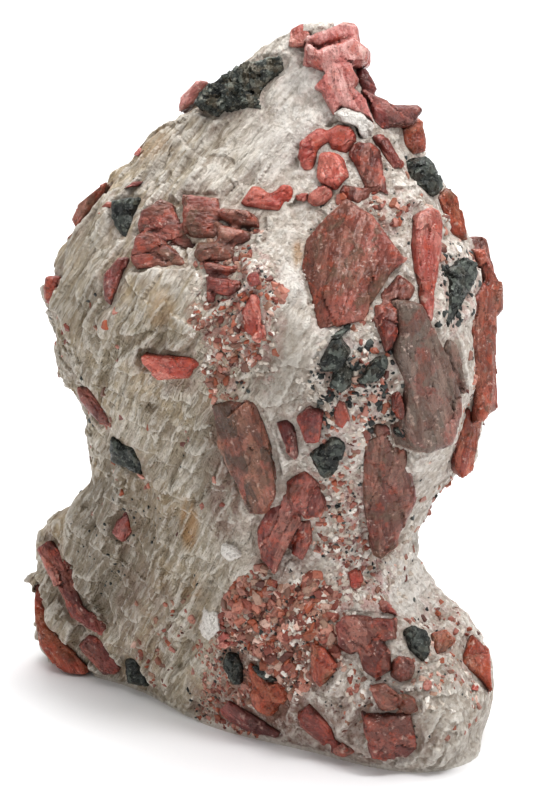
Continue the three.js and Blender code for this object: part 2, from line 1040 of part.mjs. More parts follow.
        proud: 2.2,
        depth: 8,
        facets: [{ from: [-15, 54], toward: [1, 0.1], slope: 20 }],
      },
      {
        outline: [[-13, 60], [-7, 61], [-4, 50], [-9, 44], [-12, 48]],
        proud: 1.6,
        depth: 7,
      },
    ],
  },
  {
    name: "franklinite_back",
    colour: "black",
    view: "back",
    pieces: [
      {
        outline: [[9, 76], [11, 83], [17, 84], [20, 78], [17, 72], [12, 71]],
        proud: 2,
        depth: 7,
        bevel: 1.2,
        facets: [{ from: [14, 78], toward: [1, 0.5], slope: 18 }],
      },
    ],
  },
];

// Colour, roughness and metalness of the minerals as they look in this stone
const MINERAL_LOOKS = {
  calcite: { tint: 0xc9c1b4, roughness: 0.75, metalness: 0 },
  brick: { tint: 0xa8524a, roughness: 0.6, metalness: 0 },
  salmon: { tint: 0xc07468, roughness: 0.6, metalness: 0 },
  coral: { tint: 0xcd6557, roughness: 0.6, metalness: 0 },
  orange: { tint: 0xb5502f, roughness: 0.6, metalness: 0 },
  maroon: { tint: 0x8f4546, roughness: 0.6, metalness: 0 },
  brown: { tint: 0x8e5d50, roughness: 0.7, metalness: 0 },
  grey: { tint: 0x7f6a62, roughness: 0.75, metalness: 0 },
  black: { tint: 0x2b3533, roughness: 0.4, metalness: 0.4 },
};

// A value from 0 to 1 that looks random but is always the same for the same three whole numbers.
function scatter(i, j, k) {
  let mixed = Math.imul(i, 374761393) ^ Math.imul(j, 668265263) ^ Math.imul(k, 1440662683);
  mixed = Math.imul(mixed ^ (mixed >>> 13), 1274126177);
  return ((mixed ^ (mixed >>> 16)) >>> 0) / 4294967296;
}

// Smooth random heights from 0 to 1 in space, one knot to each unit of length.
function swelling(x, y, z) {
  const i = Math.floor(x);
  const j = Math.floor(y);
  const k = Math.floor(z);
  const ease = (t) => t * t * (3 - 2 * t);
  const [fx, fy, fz] = [ease(x - i), ease(y - j), ease(z - k)];
  const mix = THREE.MathUtils.lerp;
  const edge = (dj, dk) => mix(scatter(i, j + dj, k + dk), scatter(i + 1, j + dj, k + dk), fx);
  return mix(mix(edge(0, 0), edge(1, 0), fy), mix(edge(0, 1), edge(1, 1), fy), fz);
}

function catmullRom(a, b, c, d, t) {
  const bend = 2 * a - 5 * b + 4 * c - d;
  return 0.5 * (2 * b + (c - a) * t + bend * t * t + (3 * b - a - 3 * c + d) * t * t * t);
}

// The point at a column and a level, both with fractions, of the smooth body that runs through the sections.
function bodyPoint(column, level) {
  const last = SECTIONS.length - 1;
  const low = Math.min(Math.floor(level), last - 1);
  const rise = level - low;
  const columns = SECTIONS[0].outline.length;
  const columnAt = (index) => {
    const levels = [low - 1, low, low + 1, low + 2].map((step) => THREE.MathUtils.clamp(step, 0, last));
    const points = levels.map((step) => SECTIONS[step].outline[(index + columns) % columns]);
    return [0, 1].map((axis) => catmullRom(...points.map((point) => point[axis]), rise));
  };
  const start = Math.floor(column);
  const around = [start - 1, start, start + 1, start + 2].map(columnAt);
  const [x, y] = [0, 1].map((axis) => catmullRom(...around.map((point) => point[axis]), column - start));
  return new THREE.Vector3(x, y, THREE.MathUtils.lerp(SECTIONS[low].z, SECTIONS[low + 1].z, rise));
}

// The outward direction of the smooth body at a column and a level.
function bodyNormal(column, level) {
  const step = 0.05;
  const top = SECTIONS.length - 1;
  const along = bodyPoint(column + step, level).sub(bodyPoint(column - step, level));
  const up = bodyPoint(column, Math.min(level + step, top)).sub(bodyPoint(column, Math.max(level - step, 0)));
  return along.cross(up).normalize();
}

// The move that draws a point onto the nearest broken ledge of the cleavage direction that it faces.
function ledgeMove(point, normal, spacing) {
  const facing = CLEAVAGE.map((direction) => Math.abs(direction.dot(normal)));
  const main = facing.indexOf(Math.max(...facing));
  const steps = CLEAVAGE.map((direction, index) => direction.dot(point) / spacing[index]);
  const [other, third] = [(main + 1) % 3, (main + 2) % 3].map((index) => Math.floor(steps[index]));
  const offset = scatter(other, third, main) - 0.5;
  const move = Math.round(steps[main] + offset) - offset - steps[main];
  return CLEAVAGE[main].clone().multiplyScalar(move * spacing[main]);
}

// A point of the calcite's broken surface.
function brokenPoint(column, level) {
  const smooth = bodyPoint(column, level);
  const normal = bodyNormal(column, level);
  const tip = SECTIONS[SECTIONS.length - 1].z;
  const fadeIn = THREE.MathUtils.smoothstep(smooth.z, 0, FOOT_BLEND);
  const fade = fadeIn * THREE.MathUtils.smoothstep(tip - smooth.z, 0, TIP_BLEND);
  const lump = swelling(smooth.x / LUMP_SPAN, smooth.y / LUMP_SPAN, smooth.z / LUMP_SPAN) - 0.5;
  const pit = swelling(smooth.x / PIT_SPAN + 31, smooth.y / PIT_SPAN, smooth.z / PIT_SPAN) - 0.5;
  const point = smooth.clone();
  point.addScaledVector(normal, fade * 2 * (lump * LUMP_HEIGHT + pit * PIT_HEIGHT));
  point.addScaledVector(ledgeMove(smooth, normal, LEDGE_STEPS), fade * LEDGE_SHARE);
  const back = THREE.MathUtils.smoothstep(smooth.y, BACK_START, BACK_START + BACK_BLEND);
  point.addScaledVector(ledgeMove(smooth, normal, BACK_LEDGE_STEPS), fade * back * LEDGE_SHARE);
  point.z = Math.max(point.z, 0);
  return point;
}

// The normal of a flat or nearly flat loop of points.
function loopNormal(loop) {
  const normal = new THREE.Vector3();
  loop.forEach((point, index) => {
    const next = loop[(index + 1) % loop.length];
    normal.add(point.clone().cross(next));
  });
  return normal.normalize();
}

// Triangles over a loop of points, facing along the loop's normal.
function loopCap(loop) {
  const normal = loopNormal(loop);
  const helper = Math.abs(normal.z) > 0.7 ? new THREE.Vector3(1, 0, 0) : new THREE.Vector3(0, 0, 1);
  const across = helper.clone().cross(normal).normalize();
  const along = normal.clone().cross(across);
  const flat = loop.map((point) => new THREE.Vector2(point.dot(across), point.dot(along)));
  return THREE.ShapeUtils.triangulateShape(flat, []).map(([a, b, c]) => {
    const turn = flat[b].clone().sub(flat[a]).cross(flat[c].clone().sub(flat[a]));
    return turn > 0 ? [a, b, c] : [a, c, b];
  });
}

function signedVolume(points, triangles) {
  let volume = 0;
  for (let index = 0; index < triangles.length; index += 3) {
    const [a, b, c] = [0, 1, 2].map((corner) => points[triangles[index + corner]]);
    volume += a.dot(b.clone().cross(c)) / 6;
  }
  return volume;
}

function solidFrom(points, triangles) {
  const corners = [...triangles];
  if (signedVolume(points, corners) < 0) {
    corners.reverse();
  }
  const coordinates = points.flatMap((point) => point.toArray());
  const vertProperties = new Float32Array(coordinates);
  return new wasm.Manifold(new wasm.Mesh({ numProp: 3, vertProperties, triVerts: new Uint32Array(corners) }));
}

// A closed solid skinned over loops of equal length, stacked one behind the other, with flat ends.
function skinnedSolid(loops) {
  const count = loops[0].length;
  const triangles = [];
  for (let ring = 0; ring + 1 < loops.length; ring += 1) {
    for (let side = 0; side < count; side += 1) {
      const a = ring * count + side;
      const b = ring * count + ((side + 1) % count);
      if (scatter(ring, side, 5) < 0.5) {
        triangles.push(a, b, b + count, a, b + count, a + count);
      } else {
        triangles.push(a, b, a + count, b, b + count, a + count);
      }
    }
  }
  const top = (loops.length - 1) * count;
  loopCap(loops[0]).forEach(([a, b, c]) => triangles.push(a, c, b));
  loopCap(loops[loops.length - 1]).forEach(([a, b, c]) => triangles.push(top + a, top + b, top + c));
  return solidFrom(loops.flat(), triangles);
}

function calciteBody() {
  const columns = SECTIONS[0].outline.length;
  const levels = SECTIONS.length - 1;
  const loops = [];
  for (let ring = 0; ring <= RINGS; ring += 1) {
    const loose = ring > 0 && ring < RINGS ? STEP_SCATTER : 0;
    const points = [];
    for (let segment = 0; segment < SEGMENTS; segment += 1) {
      const around = segment + loose * (scatter(segment, ring, 1) - 0.5);
      const rise = ring + loose * (scatter(segment, ring, 2) - 0.5);
      points.push(brokenPoint((around / SEGMENTS) * columns, (rise / RINGS) * levels));
    }
    loops.push(points);
  }
  return skinnedSolid(loops);
}

// A block whose flat side passes through a point and which fills the space in front of that side.
function frontBlock(point, normal, size) {
  const helper = Math.abs(normal.z) > 0.7 ? new THREE.Vector3(1, 0, 0) : new THREE.Vector3(0, 0, 1);
  const across = helper.clone().cross(normal).normalize().multiplyScalar(size);
  const along = normal.clone().cross(across);
  const side = [[-1, -1], [1, -1], [1, 1], [-1, 1]].map(([right, up]) => {
    return point.clone().addScaledVector(across, right).addScaledVector(along, up);
  });
  const far = side.map((corner) => corner.clone().addScaledVector(normal, size));
  return skinnedSolid([side, far]);
}

// A view of the stone from a compass direction: 0 is from the front and 90 from the right side.
function viewFrom(azimuth) {
  const [turn, rise] = [azimuth, VIEW_RISE].map(THREE.MathUtils.degToRad);
  const right = new THREE.Vector3(Math.cos(turn), Math.sin(turn), 0);
  const ahead = new THREE.Vector3(-Math.sin(turn), Math.cos(turn), 0).multiplyScalar(Math.cos(rise));
  ahead.z = -Math.sin(rise);
  const up = right.clone().cross(ahead);
  const eye = VIEW_TARGET.clone().addScaledVector(ahead, -VIEW_DISTANCE);
  return { right, ahead, up, eye };
}

// The line of sight through a position in a view.
function sightLine(view, [across, rise]) {
  const aim = VIEW_TARGET.clone();
  aim.addScaledVector(view.right, across - VIEW_CENTRE[0]);
  aim.addScaledVector(view.up, rise - VIEW_CENTRE[1]);
  return new THREE.Ray(view.eye.clone(), aim.sub(view.eye).normalize());
}

function outlineCentre(outline) {
  const sum = outline.reduce(([a, b], [x, y]) => [a + x, b + y], [0, 0]);
  return sum.map((value) => value / outline.length);
}

// The points where the sight lines through and around the middle of an outline meet the calcite. An outline
// that hangs over the stone's edge is looked for further in.
function calciteHits(view, outline, calciteMesh) {
  const centre = outlineCentre(outline);
  for (let pull = 0; pull < LONGEST_PULL; pull += 1) {
    const middle = centre[0] - pull * Math.sign(centre[0]);
    const probes = PROBE_SHARES.flatMap((share) => {
      return outline.map(([across, rise]) => {
        return [middle + share * (across - centre[0]), centre[1] + share * (rise - centre[1])];
      });
    });
    const hits = probes.flatMap((probe) => {
      const ray = sightLine(view, probe);
      return new THREE.Raycaster(ray.origin, ray.direction).intersectObject(calciteMesh).slice(0, 1);
    });
    if (hits.length >= FEWEST_HITS) {
      return hits;
    }
  }
  throw new Error("A crystal lies off the stone");
}

// The middle of the calcite under a crystal, and its slope there.
function groundOf(view, piece, calciteMesh) {
  const middle = new THREE.Vector3();
  const slope = new THREE.Vector3();
  const hits = calciteHits(view, piece.outline, calciteMesh);
  for (const hit of hits) {
    middle.addScaledVector(hit.point, 1 / hits.length);
    slope.add(hit.face.normal);
  }
  return { middle, slope: slope.normalize() };
}

// Where a crystal's face lies: its plane, and its outline on that plane.
function seatOf(view, piece, middle, slope) {
  const spot = middle.clone();
  const toEye = view.eye.clone().sub(spot).normalize();
  const normal = slope.clone().lerp(toEye, piece.facing ?? FACING).normalize();
  spot.addScaledVector(normal, piece.proud ?? PROUD);
  const across = view.right.clone().addScaledVector(normal, -view.right.dot(normal)).normalize();
  const along = normal.clone().cross(across);
  const plane = new THREE.Plane().setFromNormalAndCoplanarPoint(normal, spot);
  const onPlane = (point) => sightLine(view, point).intersectPlane(plane, new THREE.Vector3());
  const flat = piece.outline.map((point) => {
    const offset = onPlane(point).sub(spot);
    return new THREE.Vector2(offset.dot(across), offset.dot(along));
  });
  if (THREE.ShapeUtils.area(flat) < 0) {
    flat.reverse();
  }
  return { view, spot, normal, across, along, flat, onPlane };
}

// An outline moved outward by a distance, or inward when it is negative. The distance shrinks where the
// outline is too narrow for it.
function offsetOutline(flat, distance) {
  const count = flat.length;
  const edges = flat.map((point, index) => flat[(index + 1) % count].clone().sub(point));
  const normals = edges.map((edge) => new THREE.Vector2(edge.y, -edge.x).normalize());
  const moved = flat.map((point, index) => {
    const before = normals[(index + count - 1) % count];
    const after = normals[index];
    const reach = Math.min(1 / (1 + before.dot(after)), SHARPEST_REACH);
    return point.clone().addScaledVector(before.clone().add(after), distance * reach);
  });
  const sound = edges.every((edge, index) => {
    const newEdge = moved[(index + 1) % count].clone().sub(moved[index]);
    return newEdge.dot(edge) > SHORTEST_EDGE * edge.lengthSq();
  });
  return sound || Math.abs(distance) < SMALLEST_OFFSET ? moved : offsetOutline(flat, distance * 0.7);
}

// A loop of an outline at a height over a crystal's face.
function loopAt(seat, flat, height) {
  return flat.map((point) => {
    const place = seat.spot.clone().addScaledVector(seat.normal, height);
    return place.addScaledVector(seat.across, point.x).addScaledVector(seat.along, point.y);
  });
}

// One crystal: a prism with a broken edge round its face, and with its face cut by the facets.
function crystalPiece(seat, piece, flare) {
  const depth = piece.depth ?? DEPTH;
  const bevel = piece.bevel ?? BEVEL;
  let solid = skinnedSolid([
    loopAt(seat, offsetOutline(seat.flat, flare), -depth),
    loopAt(seat, seat.flat, -bevel),
    loopAt(seat, offsetOutline(seat.flat, -bevel), 0),
  ]);
  for (const facet of piece.facets ?? []) {
    const toward = seat.across.clone().multiplyScalar(facet.toward[0]);
    toward.addScaledVector(seat.along, facet.toward[1]).normalize();
    const slope = THREE.MathUtils.degToRad(facet.slope);
    const tilted = seat.normal.clone().multiplyScalar(Math.cos(slope));
    tilted.addScaledVector(toward, Math.sin(slope));
    solid = solid.subtract(frontBlock(seat.onPlane(facet.from), tilted, FACET_CUT));
  }
  return solid;
}

// The room that a crystal takes up with air all round it, open to the side that it is seen from.
function crystalRoom(seat, piece, flare) {
  const depth = piece.depth ?? DEPTH;
  const root = loopAt(seat, offsetOutline(seat.flat, flare + GAP), -depth - GAP);
  const rim = loopAt(seat, offsetOutline(seat.flat, GAP), 0);
  const mouth = rim.map((point) => {
    const toEye = seat.view.eye.clone().sub(point).normalize();
    return point.clone().addScaledVector(toEye, SOCKET_REACH);
  });
  return skinnedSolid([root, rim, mouth]);
}

// The seats of the crystals of one group, which share the calcite's slope.
function seatsOf(view, pieces, calciteMesh) {
  const grounds = pieces.map((piece) => groundOf(view, piece, calciteMesh));
  const slope = grounds.reduce((sum, ground) => sum.add(ground.slope), new THREE.Vector3()).normalize();
  return pieces.map((piece, index) => seatOf(view, piece, grounds[index].middle, slope));
}

function joined(solids) {
  return solids.reduce((whole, solid) => whole.add(solid));
}

// The largest connected body of a solid, without the crumbs that cuts leave behind.
function largestBody(solid, name) {
  const { vertProperties, triVerts } = solid.getMesh();
  const parent = Array.from({ length: vertProperties.length / 3 }, (_, index) => index);
  const rootOf = (index) => {
    let root = index;
    while (parent[root] !== root) {
      parent[root] = parent[parent[root]];
      root = parent[root];
    }
    return root;
  };
  for (let index = 0; index < triVerts.length; index += 3) {
    parent[rootOf(triVerts[index + 1])] = rootOf(triVerts[index]);
    parent[rootOf(triVerts[index + 2])] = rootOf(triVerts[index]);
  }
  const bodies = new Map();
  for (let index = 0; index < triVerts.length; index += 3) {
    const root = rootOf(triVerts[index]);
    const corners = bodies.get(root) ?? [];
    corners.push(...triVerts.slice(index, index + 3));
    bodies.set(root, corners);
  }
  const points = parent.map((_, index) => new THREE.Vector3().fromArray(vertProperties, index * 3));
  const volumes = new Map([...bodies.values()].map((corners) => [corners, signedVolume(points, corners)]));
  const [largest] = [...volumes.keys()].sort((a, b) => volumes.get(b) - volumes.get(a));
  const total = [...volumes.values()].reduce((sum, volume) => sum + volume, 0);
  if (volumes.get(largest) < SMALLEST_WHOLE * total) {
    throw new Error(`${name} is in more than one piece`);
  }
  const used = [...new Set(largest)];
  const renumbered = new Map(used.map((old, index) => [old, index]));
  return solidFrom(used.map((old) => points[old]), largest.map((old) => renumbered.get(old)));
}

// A named mesh of a solid, whose position is the given place.
function meshOf(solid, name, material, place) {
  const { vertProperties, triVerts } = solid.getMesh();
  const geometry = new THREE.BufferGeometry();
  geometry.setAttribute("position", new THREE.BufferAttribute(vertProperties, 3));
  geometry.setIndex(new THREE.BufferAttribute(triVerts, 1));
  geometry.translate(-place.x, -place.y, -place.z);
  const mesh = new THREE.Mesh(geometry, material);
  mesh.name = name;
  mesh.position.copy(place);
  return mesh;
}

function mineralMaterial(colour) {
  const { tint, roughness, metalness } = MINERAL_LOOKS[colour];
  return new THREE.MeshStandardMaterial({ color: tint, roughness, metalness, flatShading: true });
}

const origin = new THREE.Vector3();
const views = { front: viewFrom(0), right: viewFrom(90), back: viewFrom(180) };
const calcite = calciteBody();
const calciteMesh = meshOf(calcite, "unbroken_calcite", mineralMaterial("calcite"), origin);
const overFoot = frontBlock(new THREE.Vector3(0, 0, FOOT_CLEARANCE), new THREE.Vector3(0, 0, 1), ABOVE_ALL);

// Each crystal leaves the room of the ones before it free, and the calcite leaves the room of them all.
const rooms = [];
const crystalMeshes = [];
for (const crystal of CRYSTALS) {
  const view = views[crystal.view ?? "front"];
  const flare = crystal.pieces.length > 1 ? FLARE : 0;
  const seats = seatsOf(view, crystal.pieces, calciteMesh);
  const grown = joined(crystal.pieces.map((piece, index) => crystalPiece(seats[index], piece, flare)));
  const free = rooms.reduce((solid, room) => solid.subtract(room), grown.intersect(overFoot));
  rooms.push(joined(crystal.pieces.map((piece, index) => crystalRoom(seats[index], piece, flare))));
  const whole = largestBody(free, crystal.name);
  crystalMeshes.push(meshOf(whole, crystal.name, mineralMaterial(crystal.colour), seats[0].spot));
}
const matrix = largestBody(calcite.subtract(joined(rooms)), "calcite_matrix");

const group = new THREE.Group();
group.add(meshOf(matrix, "calcite_matrix", mineralMaterial("calcite"), origin));
group.add(...crystalMeshes);

// The origin goes under the middle of the stone.
const box = new THREE.Box3().setFromObject(group);
const middle = box.getCenter(new THREE.Vector3());
group.children.forEach((mesh) => mesh.position.sub(new THREE.Vector3(middle.x, middle.y, 0)));

export default group;
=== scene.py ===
# Looks of a rough rhodonite specimen: a broken block of calcite with rhodonite crystals, franklinite grains
# and the small grains between them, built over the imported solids. Lengths are in millimetres and points are
# in the part's own frame: +Z up, +X to the right and +Y away as the stone is seen from its front.
import itertools
import math

import bmesh
import bpy
import numpy as np
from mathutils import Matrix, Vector
from mathutils.bvhtree import BVHTree


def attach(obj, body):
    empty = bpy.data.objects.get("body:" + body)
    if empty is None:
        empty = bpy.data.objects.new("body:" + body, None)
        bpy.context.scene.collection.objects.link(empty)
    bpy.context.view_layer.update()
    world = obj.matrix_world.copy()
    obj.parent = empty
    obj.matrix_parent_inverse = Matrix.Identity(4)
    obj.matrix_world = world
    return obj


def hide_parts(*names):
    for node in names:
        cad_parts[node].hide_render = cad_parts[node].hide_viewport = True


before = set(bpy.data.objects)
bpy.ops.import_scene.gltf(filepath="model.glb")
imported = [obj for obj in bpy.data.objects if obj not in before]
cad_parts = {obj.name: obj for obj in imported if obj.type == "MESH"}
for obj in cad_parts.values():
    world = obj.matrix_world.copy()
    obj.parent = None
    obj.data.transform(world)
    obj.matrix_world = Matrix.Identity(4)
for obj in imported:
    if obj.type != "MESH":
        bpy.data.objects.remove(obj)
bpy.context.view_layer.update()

METRE = 1000.0

# The view that the outlines below are drawn in, and the camera: a view rises 18 degrees over the level and
# looks at the stone's mid height, and a position in it is across and up.
VIEW_RISE = math.radians(18)
VIEW_DISTANCE = 650.0
VIEW_TARGET = np.array([2.57, -2.79, 66.5])
VIEW_CENTRE = (0.0, 74.4)
VIEW_HEIGHT = 160.0  # height of the camera's frame at the target's distance
SENSOR = 36.0
CLIP_START, CLIP_END = 50.0, 20000.0

# Calcite
CALCITE_STEP = 0.52  # size of a face of its mesh while it is shaped
CALCITE_TRIANGLES = 190000
SOCKET_FILL = 0.5  # how much the crystals swell to close their sockets before the calcite is drawn over
COVER_REACH = 0.62  # calcite this near to a swollen crystal is drawn anew across the socket
COVER_ROUNDS = 520  # smoothing of what is drawn anew
COVER_DEPTH = 0.35  # how far the calcite sinks under a crystal
CALMING_ROUNDS = 16  # smoothing of the solid's broad facets
FOOT_LEVEL = 0.5  # what lies lower than this rests on the floor
RELIEF_FADE = 3.0  # height over which the relief fades in above the foot
CLEAVAGE = np.array([(0.8, -0.35, -0.49), (-0.45, -0.8, 0.4), (0.25, -0.15, 0.95)])
CLEAVAGE /= np.linalg.norm(CLEAVAGE, axis=1)[:, None]
GRAIN_RUN = np.cross(CLEAVAGE[0], CLEAVAGE[1])  # the way the blades of the left face run
GRAIN_RUN /= np.linalg.norm(GRAIN_RUN)
BLADE_AXES = np.array([CLEAVAGE[0], GRAIN_RUN, np.cross(CLEAVAGE[0], GRAIN_RUN)])
# Where its looks change: the sides between which the bladed left turns into the sugary right, the heights
# between which the grey-beige left turns white, and the sides between which it ends.
SUGAR_BORDER = (-9, 14)
BEIGE_TOP = (88, 106)
BEIGE_SIDE = (-12, 6)
LEDGE_WIDTHS = np.array([6.0, 24.0, 22.0])  # across each of the three cleavages
LEDGE_RISE = 4.6
LEDGE_SHARE = 0.3  # how much of the way to its ledge a point moves
LEDGE_TILT = 0.3  # steepest slope of a ledge along each of its sides
LONGEST_LEDGE_MOVE = 1.1
# The plates that the calcite has split into: thickness and lengths, height of the relief they give.
BROAD_SLABS, BROAD_SLAB_HEIGHT = np.array([6.5, 30.0, 30.0]), 0.75
SLABS, SLAB_HEIGHT = np.array([3.2, 26.0, 26.0]), 0.48
THIN_SLABS, THIN_SLAB_HEIGHT = np.array([1.7, 17.0, 17.0]), 0.3
SUGAR_FACETS, SUGAR_HEIGHT = np.array([4.4, 4.4, 4.4]), 0.2  # the granular calcite of the right side
JOINT_WIDTH, JOINT_DEPTH = 0.12, 0.15  # joints between slabs, their width as a share of a slab
WAVES, WAVE_HEIGHT = 9.0, 0.6
ROUGHNESS, ROUGHNESS_HEIGHT = 1.9, 0.2  # the finest unevenness
PUSH_REACH = 1.3  # calcite this little above a crystal's face goes under it
PUSH_DEPTH = 0.3
OVER_FACE = 0.85  # least cosine between a face's normal and the way to a point that lies over the face
SAME_WAY = 0.5  # least cosine between that normal and the calcite's
PIT_ROUNDS = 14  # how broad a dip still counts as a pit
PIT_CLEARANCE = 0.7  # pits this near to a crystal stay
PIT_DEPTH = 0.28
NEAR_FADE = 5.0  # how far from a crystal the calcite is still coloured by it

FACET_TILT = 2.4  # of the small flat faces of calcite and crystals

# Crevices, for the painted shade between the pieces: rays from each point that look for something near
CREVICE_RAYS = 6
CREVICE_REACH = 3.0
CREVICE_START = 0.12
CREVICE_OUT, CREVICE_ASIDE = 0.65, 0.76  # direction of a ray

# Crystals and large grains
CRYSTAL_STEP = 0.38  # size of a face of their meshes
CRYSTAL_SWELL = 0.25
SLIVER_STEP = 0.3
SLIVER_RISE = 1.2  # how far a small piece stands out of the stone
WHITE_RISE = 2.0  # the same for a white one
SLIVER_DEPTH = 1.6  # how deep it goes in
SLIVER_TOP = 0.72  # width of its top, as a share of its outline
STEEPEST_SLIVER = 1.5
# The small flat faces of a crystal: length and widths, height of the relief they give. The ribs run along
# it, the seams between its steps have a width that is a share of a step, and only its edges are chipped.
BROAD_FACES, BROAD_FACE_HEIGHT = np.array([9.0, 5.0, 5.0]), 0.22
STEPS, STEP_HEIGHT = np.array([7.0, 2.6, 2.6]), 0.13
CHIPS, CHIP_DEPTH = np.array([2.4, 1.5, 1.5]), 0.35
RIBS, RIB_HEIGHT = 1.2, 0.04
SEAM_WIDTH, SEAM_DEPTH = 0.12, 0.07
EDGE_HEIGHT = 0.3  # what stands out this far is an edge
# The uneven surface of the rounded grains
BREAKS, BREAK_HEIGHT = np.full(3, 2.4), 0.4
PITS, PIT_HEIGHT = np.full(3, 0.9), 0.16

# What the calcite's colours are drawn from, besides its relief, in zones of the front: the seed of their
# borders, and each zone's middle across and up, half width and half height, and strength.
CALCITE_MARKS = {
    "stain": (150, [  # rust
        (2, 22, 12, 17, 1.0), (-8, 58, 4, 12, 0.55), (-6, 12, 9, 8, 0.8), (14, 9, 18, 8, 0.6),
        (4, 44, 6, 8, 0.5), (-24, 30, 6, 12, 0.3),
    ]),
    "dull": (170, [  # darker and greyer than the rest: painted shade, with greyer calcite
        (-30, 48, 11, 16, 0.9), (-36, 36, 9, 9, 1.0), (-9, 64, 7, 14, 0.8), (35, 12, 13, 13, 0.6),
        (-38, 96, 8, 20, 0.4), (2, 82, 6, 10, 0.7),
    ]),
    "amber": (180, [  # honey-brown seams
        (-15.5, 49, 1.8, 5, 1.0), (-15, 37, 2.4, 3.5, 0.7), (-23, 126, 5, 5, 0.5), (-21, 92, 2.5, 4, 0.5),
        (6.3, 103.5, 1.2, 3, 0.9), (-9, 84, 2, 3, 0.4),
    ]),
    "blush": (160, [  # pink of very fine rhodonite
        (-6, 92, 9, 18, 0.9), (19, 46, 8, 17, 0.9), (22, 112, 10, 6, 0.5), (38, 30, 9, 12, 0.4),
        (19, 78, 10, 12, 0.5), (38, 96, 6, 10, 0.5), (12, 62, 8, 10, 0.5),
    ]),
    "clean": (200, [  # the whitest calcite
        (8, 135, 6, 11, 0.75), (2, 124, 9, 5, 0.6), (12, 122, 4, 5, 0.6), (14, 88, 5, 9, 0.6),
        (6, 98, 4, 5, 0.7), (16, 66, 5, 6, 0.5), (28, 38, 6, 7, 0.7), (23, 14, 5, 6, 0.5),
    ]),
}
COLUMN_ZONES = [(-15, 48, 12, 15, 1.0), (-27, 84, 10, 14, 0.4)]  # where the slabs stand out more

# Small pieces of the front: look and outline, corners across and up.
SLIVERS = {
    "crown_tip": ("salmon", [(4.2, 145.2), (5.0, 149.0), (7.4, 150.2), (9.0, 147.6), (7.6, 145.0)]),
    "slope_chip": ("salmon", [(-27, 123.6), (-25.6, 125.2), (-23.9, 124.8), (-25.5, 122.8)]),
    "brow_edge": ("brick", [(-29, 116.4), (-27, 118.4), (-24.4, 118.2), (-24.8, 117.4), (-27.5, 116.8)]),
    "tablet_right": ("salmon", [
        (8.2, 114.8), (10, 116.8), (11.6, 117.6), (13, 116.2), (13, 115.2), (11.5, 113.6), (10, 113.3),
        (8.4, 113.8),
    ]),
    "tablet_left": ("salmon", [(5.5, 115.4), (7, 116), (8.4, 115.6), (7.8, 114), (6, 114.2)]),
    "pea": ("maroon", [
        (-3.9, 98.8), (-3.2, 99.8), (-1.8, 99.9), (-0.8, 98.8), (-1, 97.6), (-2, 97), (-3.2, 97.2),
        (-3.8, 97.8),
    ]),
    "pink_drop": ("salmon", [
        (13.2, 73.2), (14.5, 74.9), (15.5, 73.2), (16.5, 70.6), (15.2, 68.3), (13.5, 69.6),
    ]),
    "cigar": ("brick", [
        (24.8, 75.8), (26.6, 76.2), (27.4, 74.5), (28, 71.8), (27.4, 70.3), (26, 70.6), (24.8, 72.8),
    ]),
    "pea_low": ("coral", [
        (16.2, 40), (17.6, 40.8), (18.8, 40.2), (19.3, 38.4), (18.8, 36.8), (17.4, 36.4), (16.4, 37.6),
    ]),
    "low_sliver": ("brick", [
        (22.6, 34.2), (23.8, 33.9), (25.8, 32.2), (26.3, 31.1), (24.8, 31.6), (23.1, 32.6),
    ]),
    "pebble": ("salmon", [
        (-10.2, 26.6), (-8.7, 28.2), (-6.7, 27.4), (-5.9, 25.4), (-7.9, 24.6), (-9.8, 25),
    ]),
    "toe_oval": ("salmon", [(31, 17.2), (31.8, 18.4), (33, 18), (33, 16.8), (32, 16.2)]),
    "toe_chip": ("coral", [(40.6, 16.6), (41.4, 17.8), (42.6, 17.4), (42.4, 16.2)]),
    "white_patch": ("white", [
        (13.3, 131.7), (15.6, 133.2), (19.1, 131.7), (21.6, 129.4), (20.3, 126.4), (19.1, 126.4),
        (18.1, 128.9), (15.1, 129.9),
    ]),
    "white_rhomb": ("white", [(-8.6, 45.8), (-5.8, 45.4), (-4.8, 43.2), (-7.8, 41.8), (-9.2, 43.8)]),
    "white_block": ("white", [(-12.5, 33), (-9.5, 32), (-9, 28.5), (-11.5, 26), (-14, 28.5)]),
    "black_bead": ("black", [(25.1, 68.9), (27.1, 68.9), (28, 67.6), (27.1, 66.6), (25.6, 67.6)]),
    "black_blade": ("black", [(12.5, 87), (15, 88.9), (16.8, 89.4), (16, 88), (14.2, 86.3)]),
    "black_low": ("black", [(-3.1, 21), (-1.9, 21.4), (0.4, 19.9), (2.4, 18.3), (0.8, 17.9), (-1.9, 19.1)]),
}

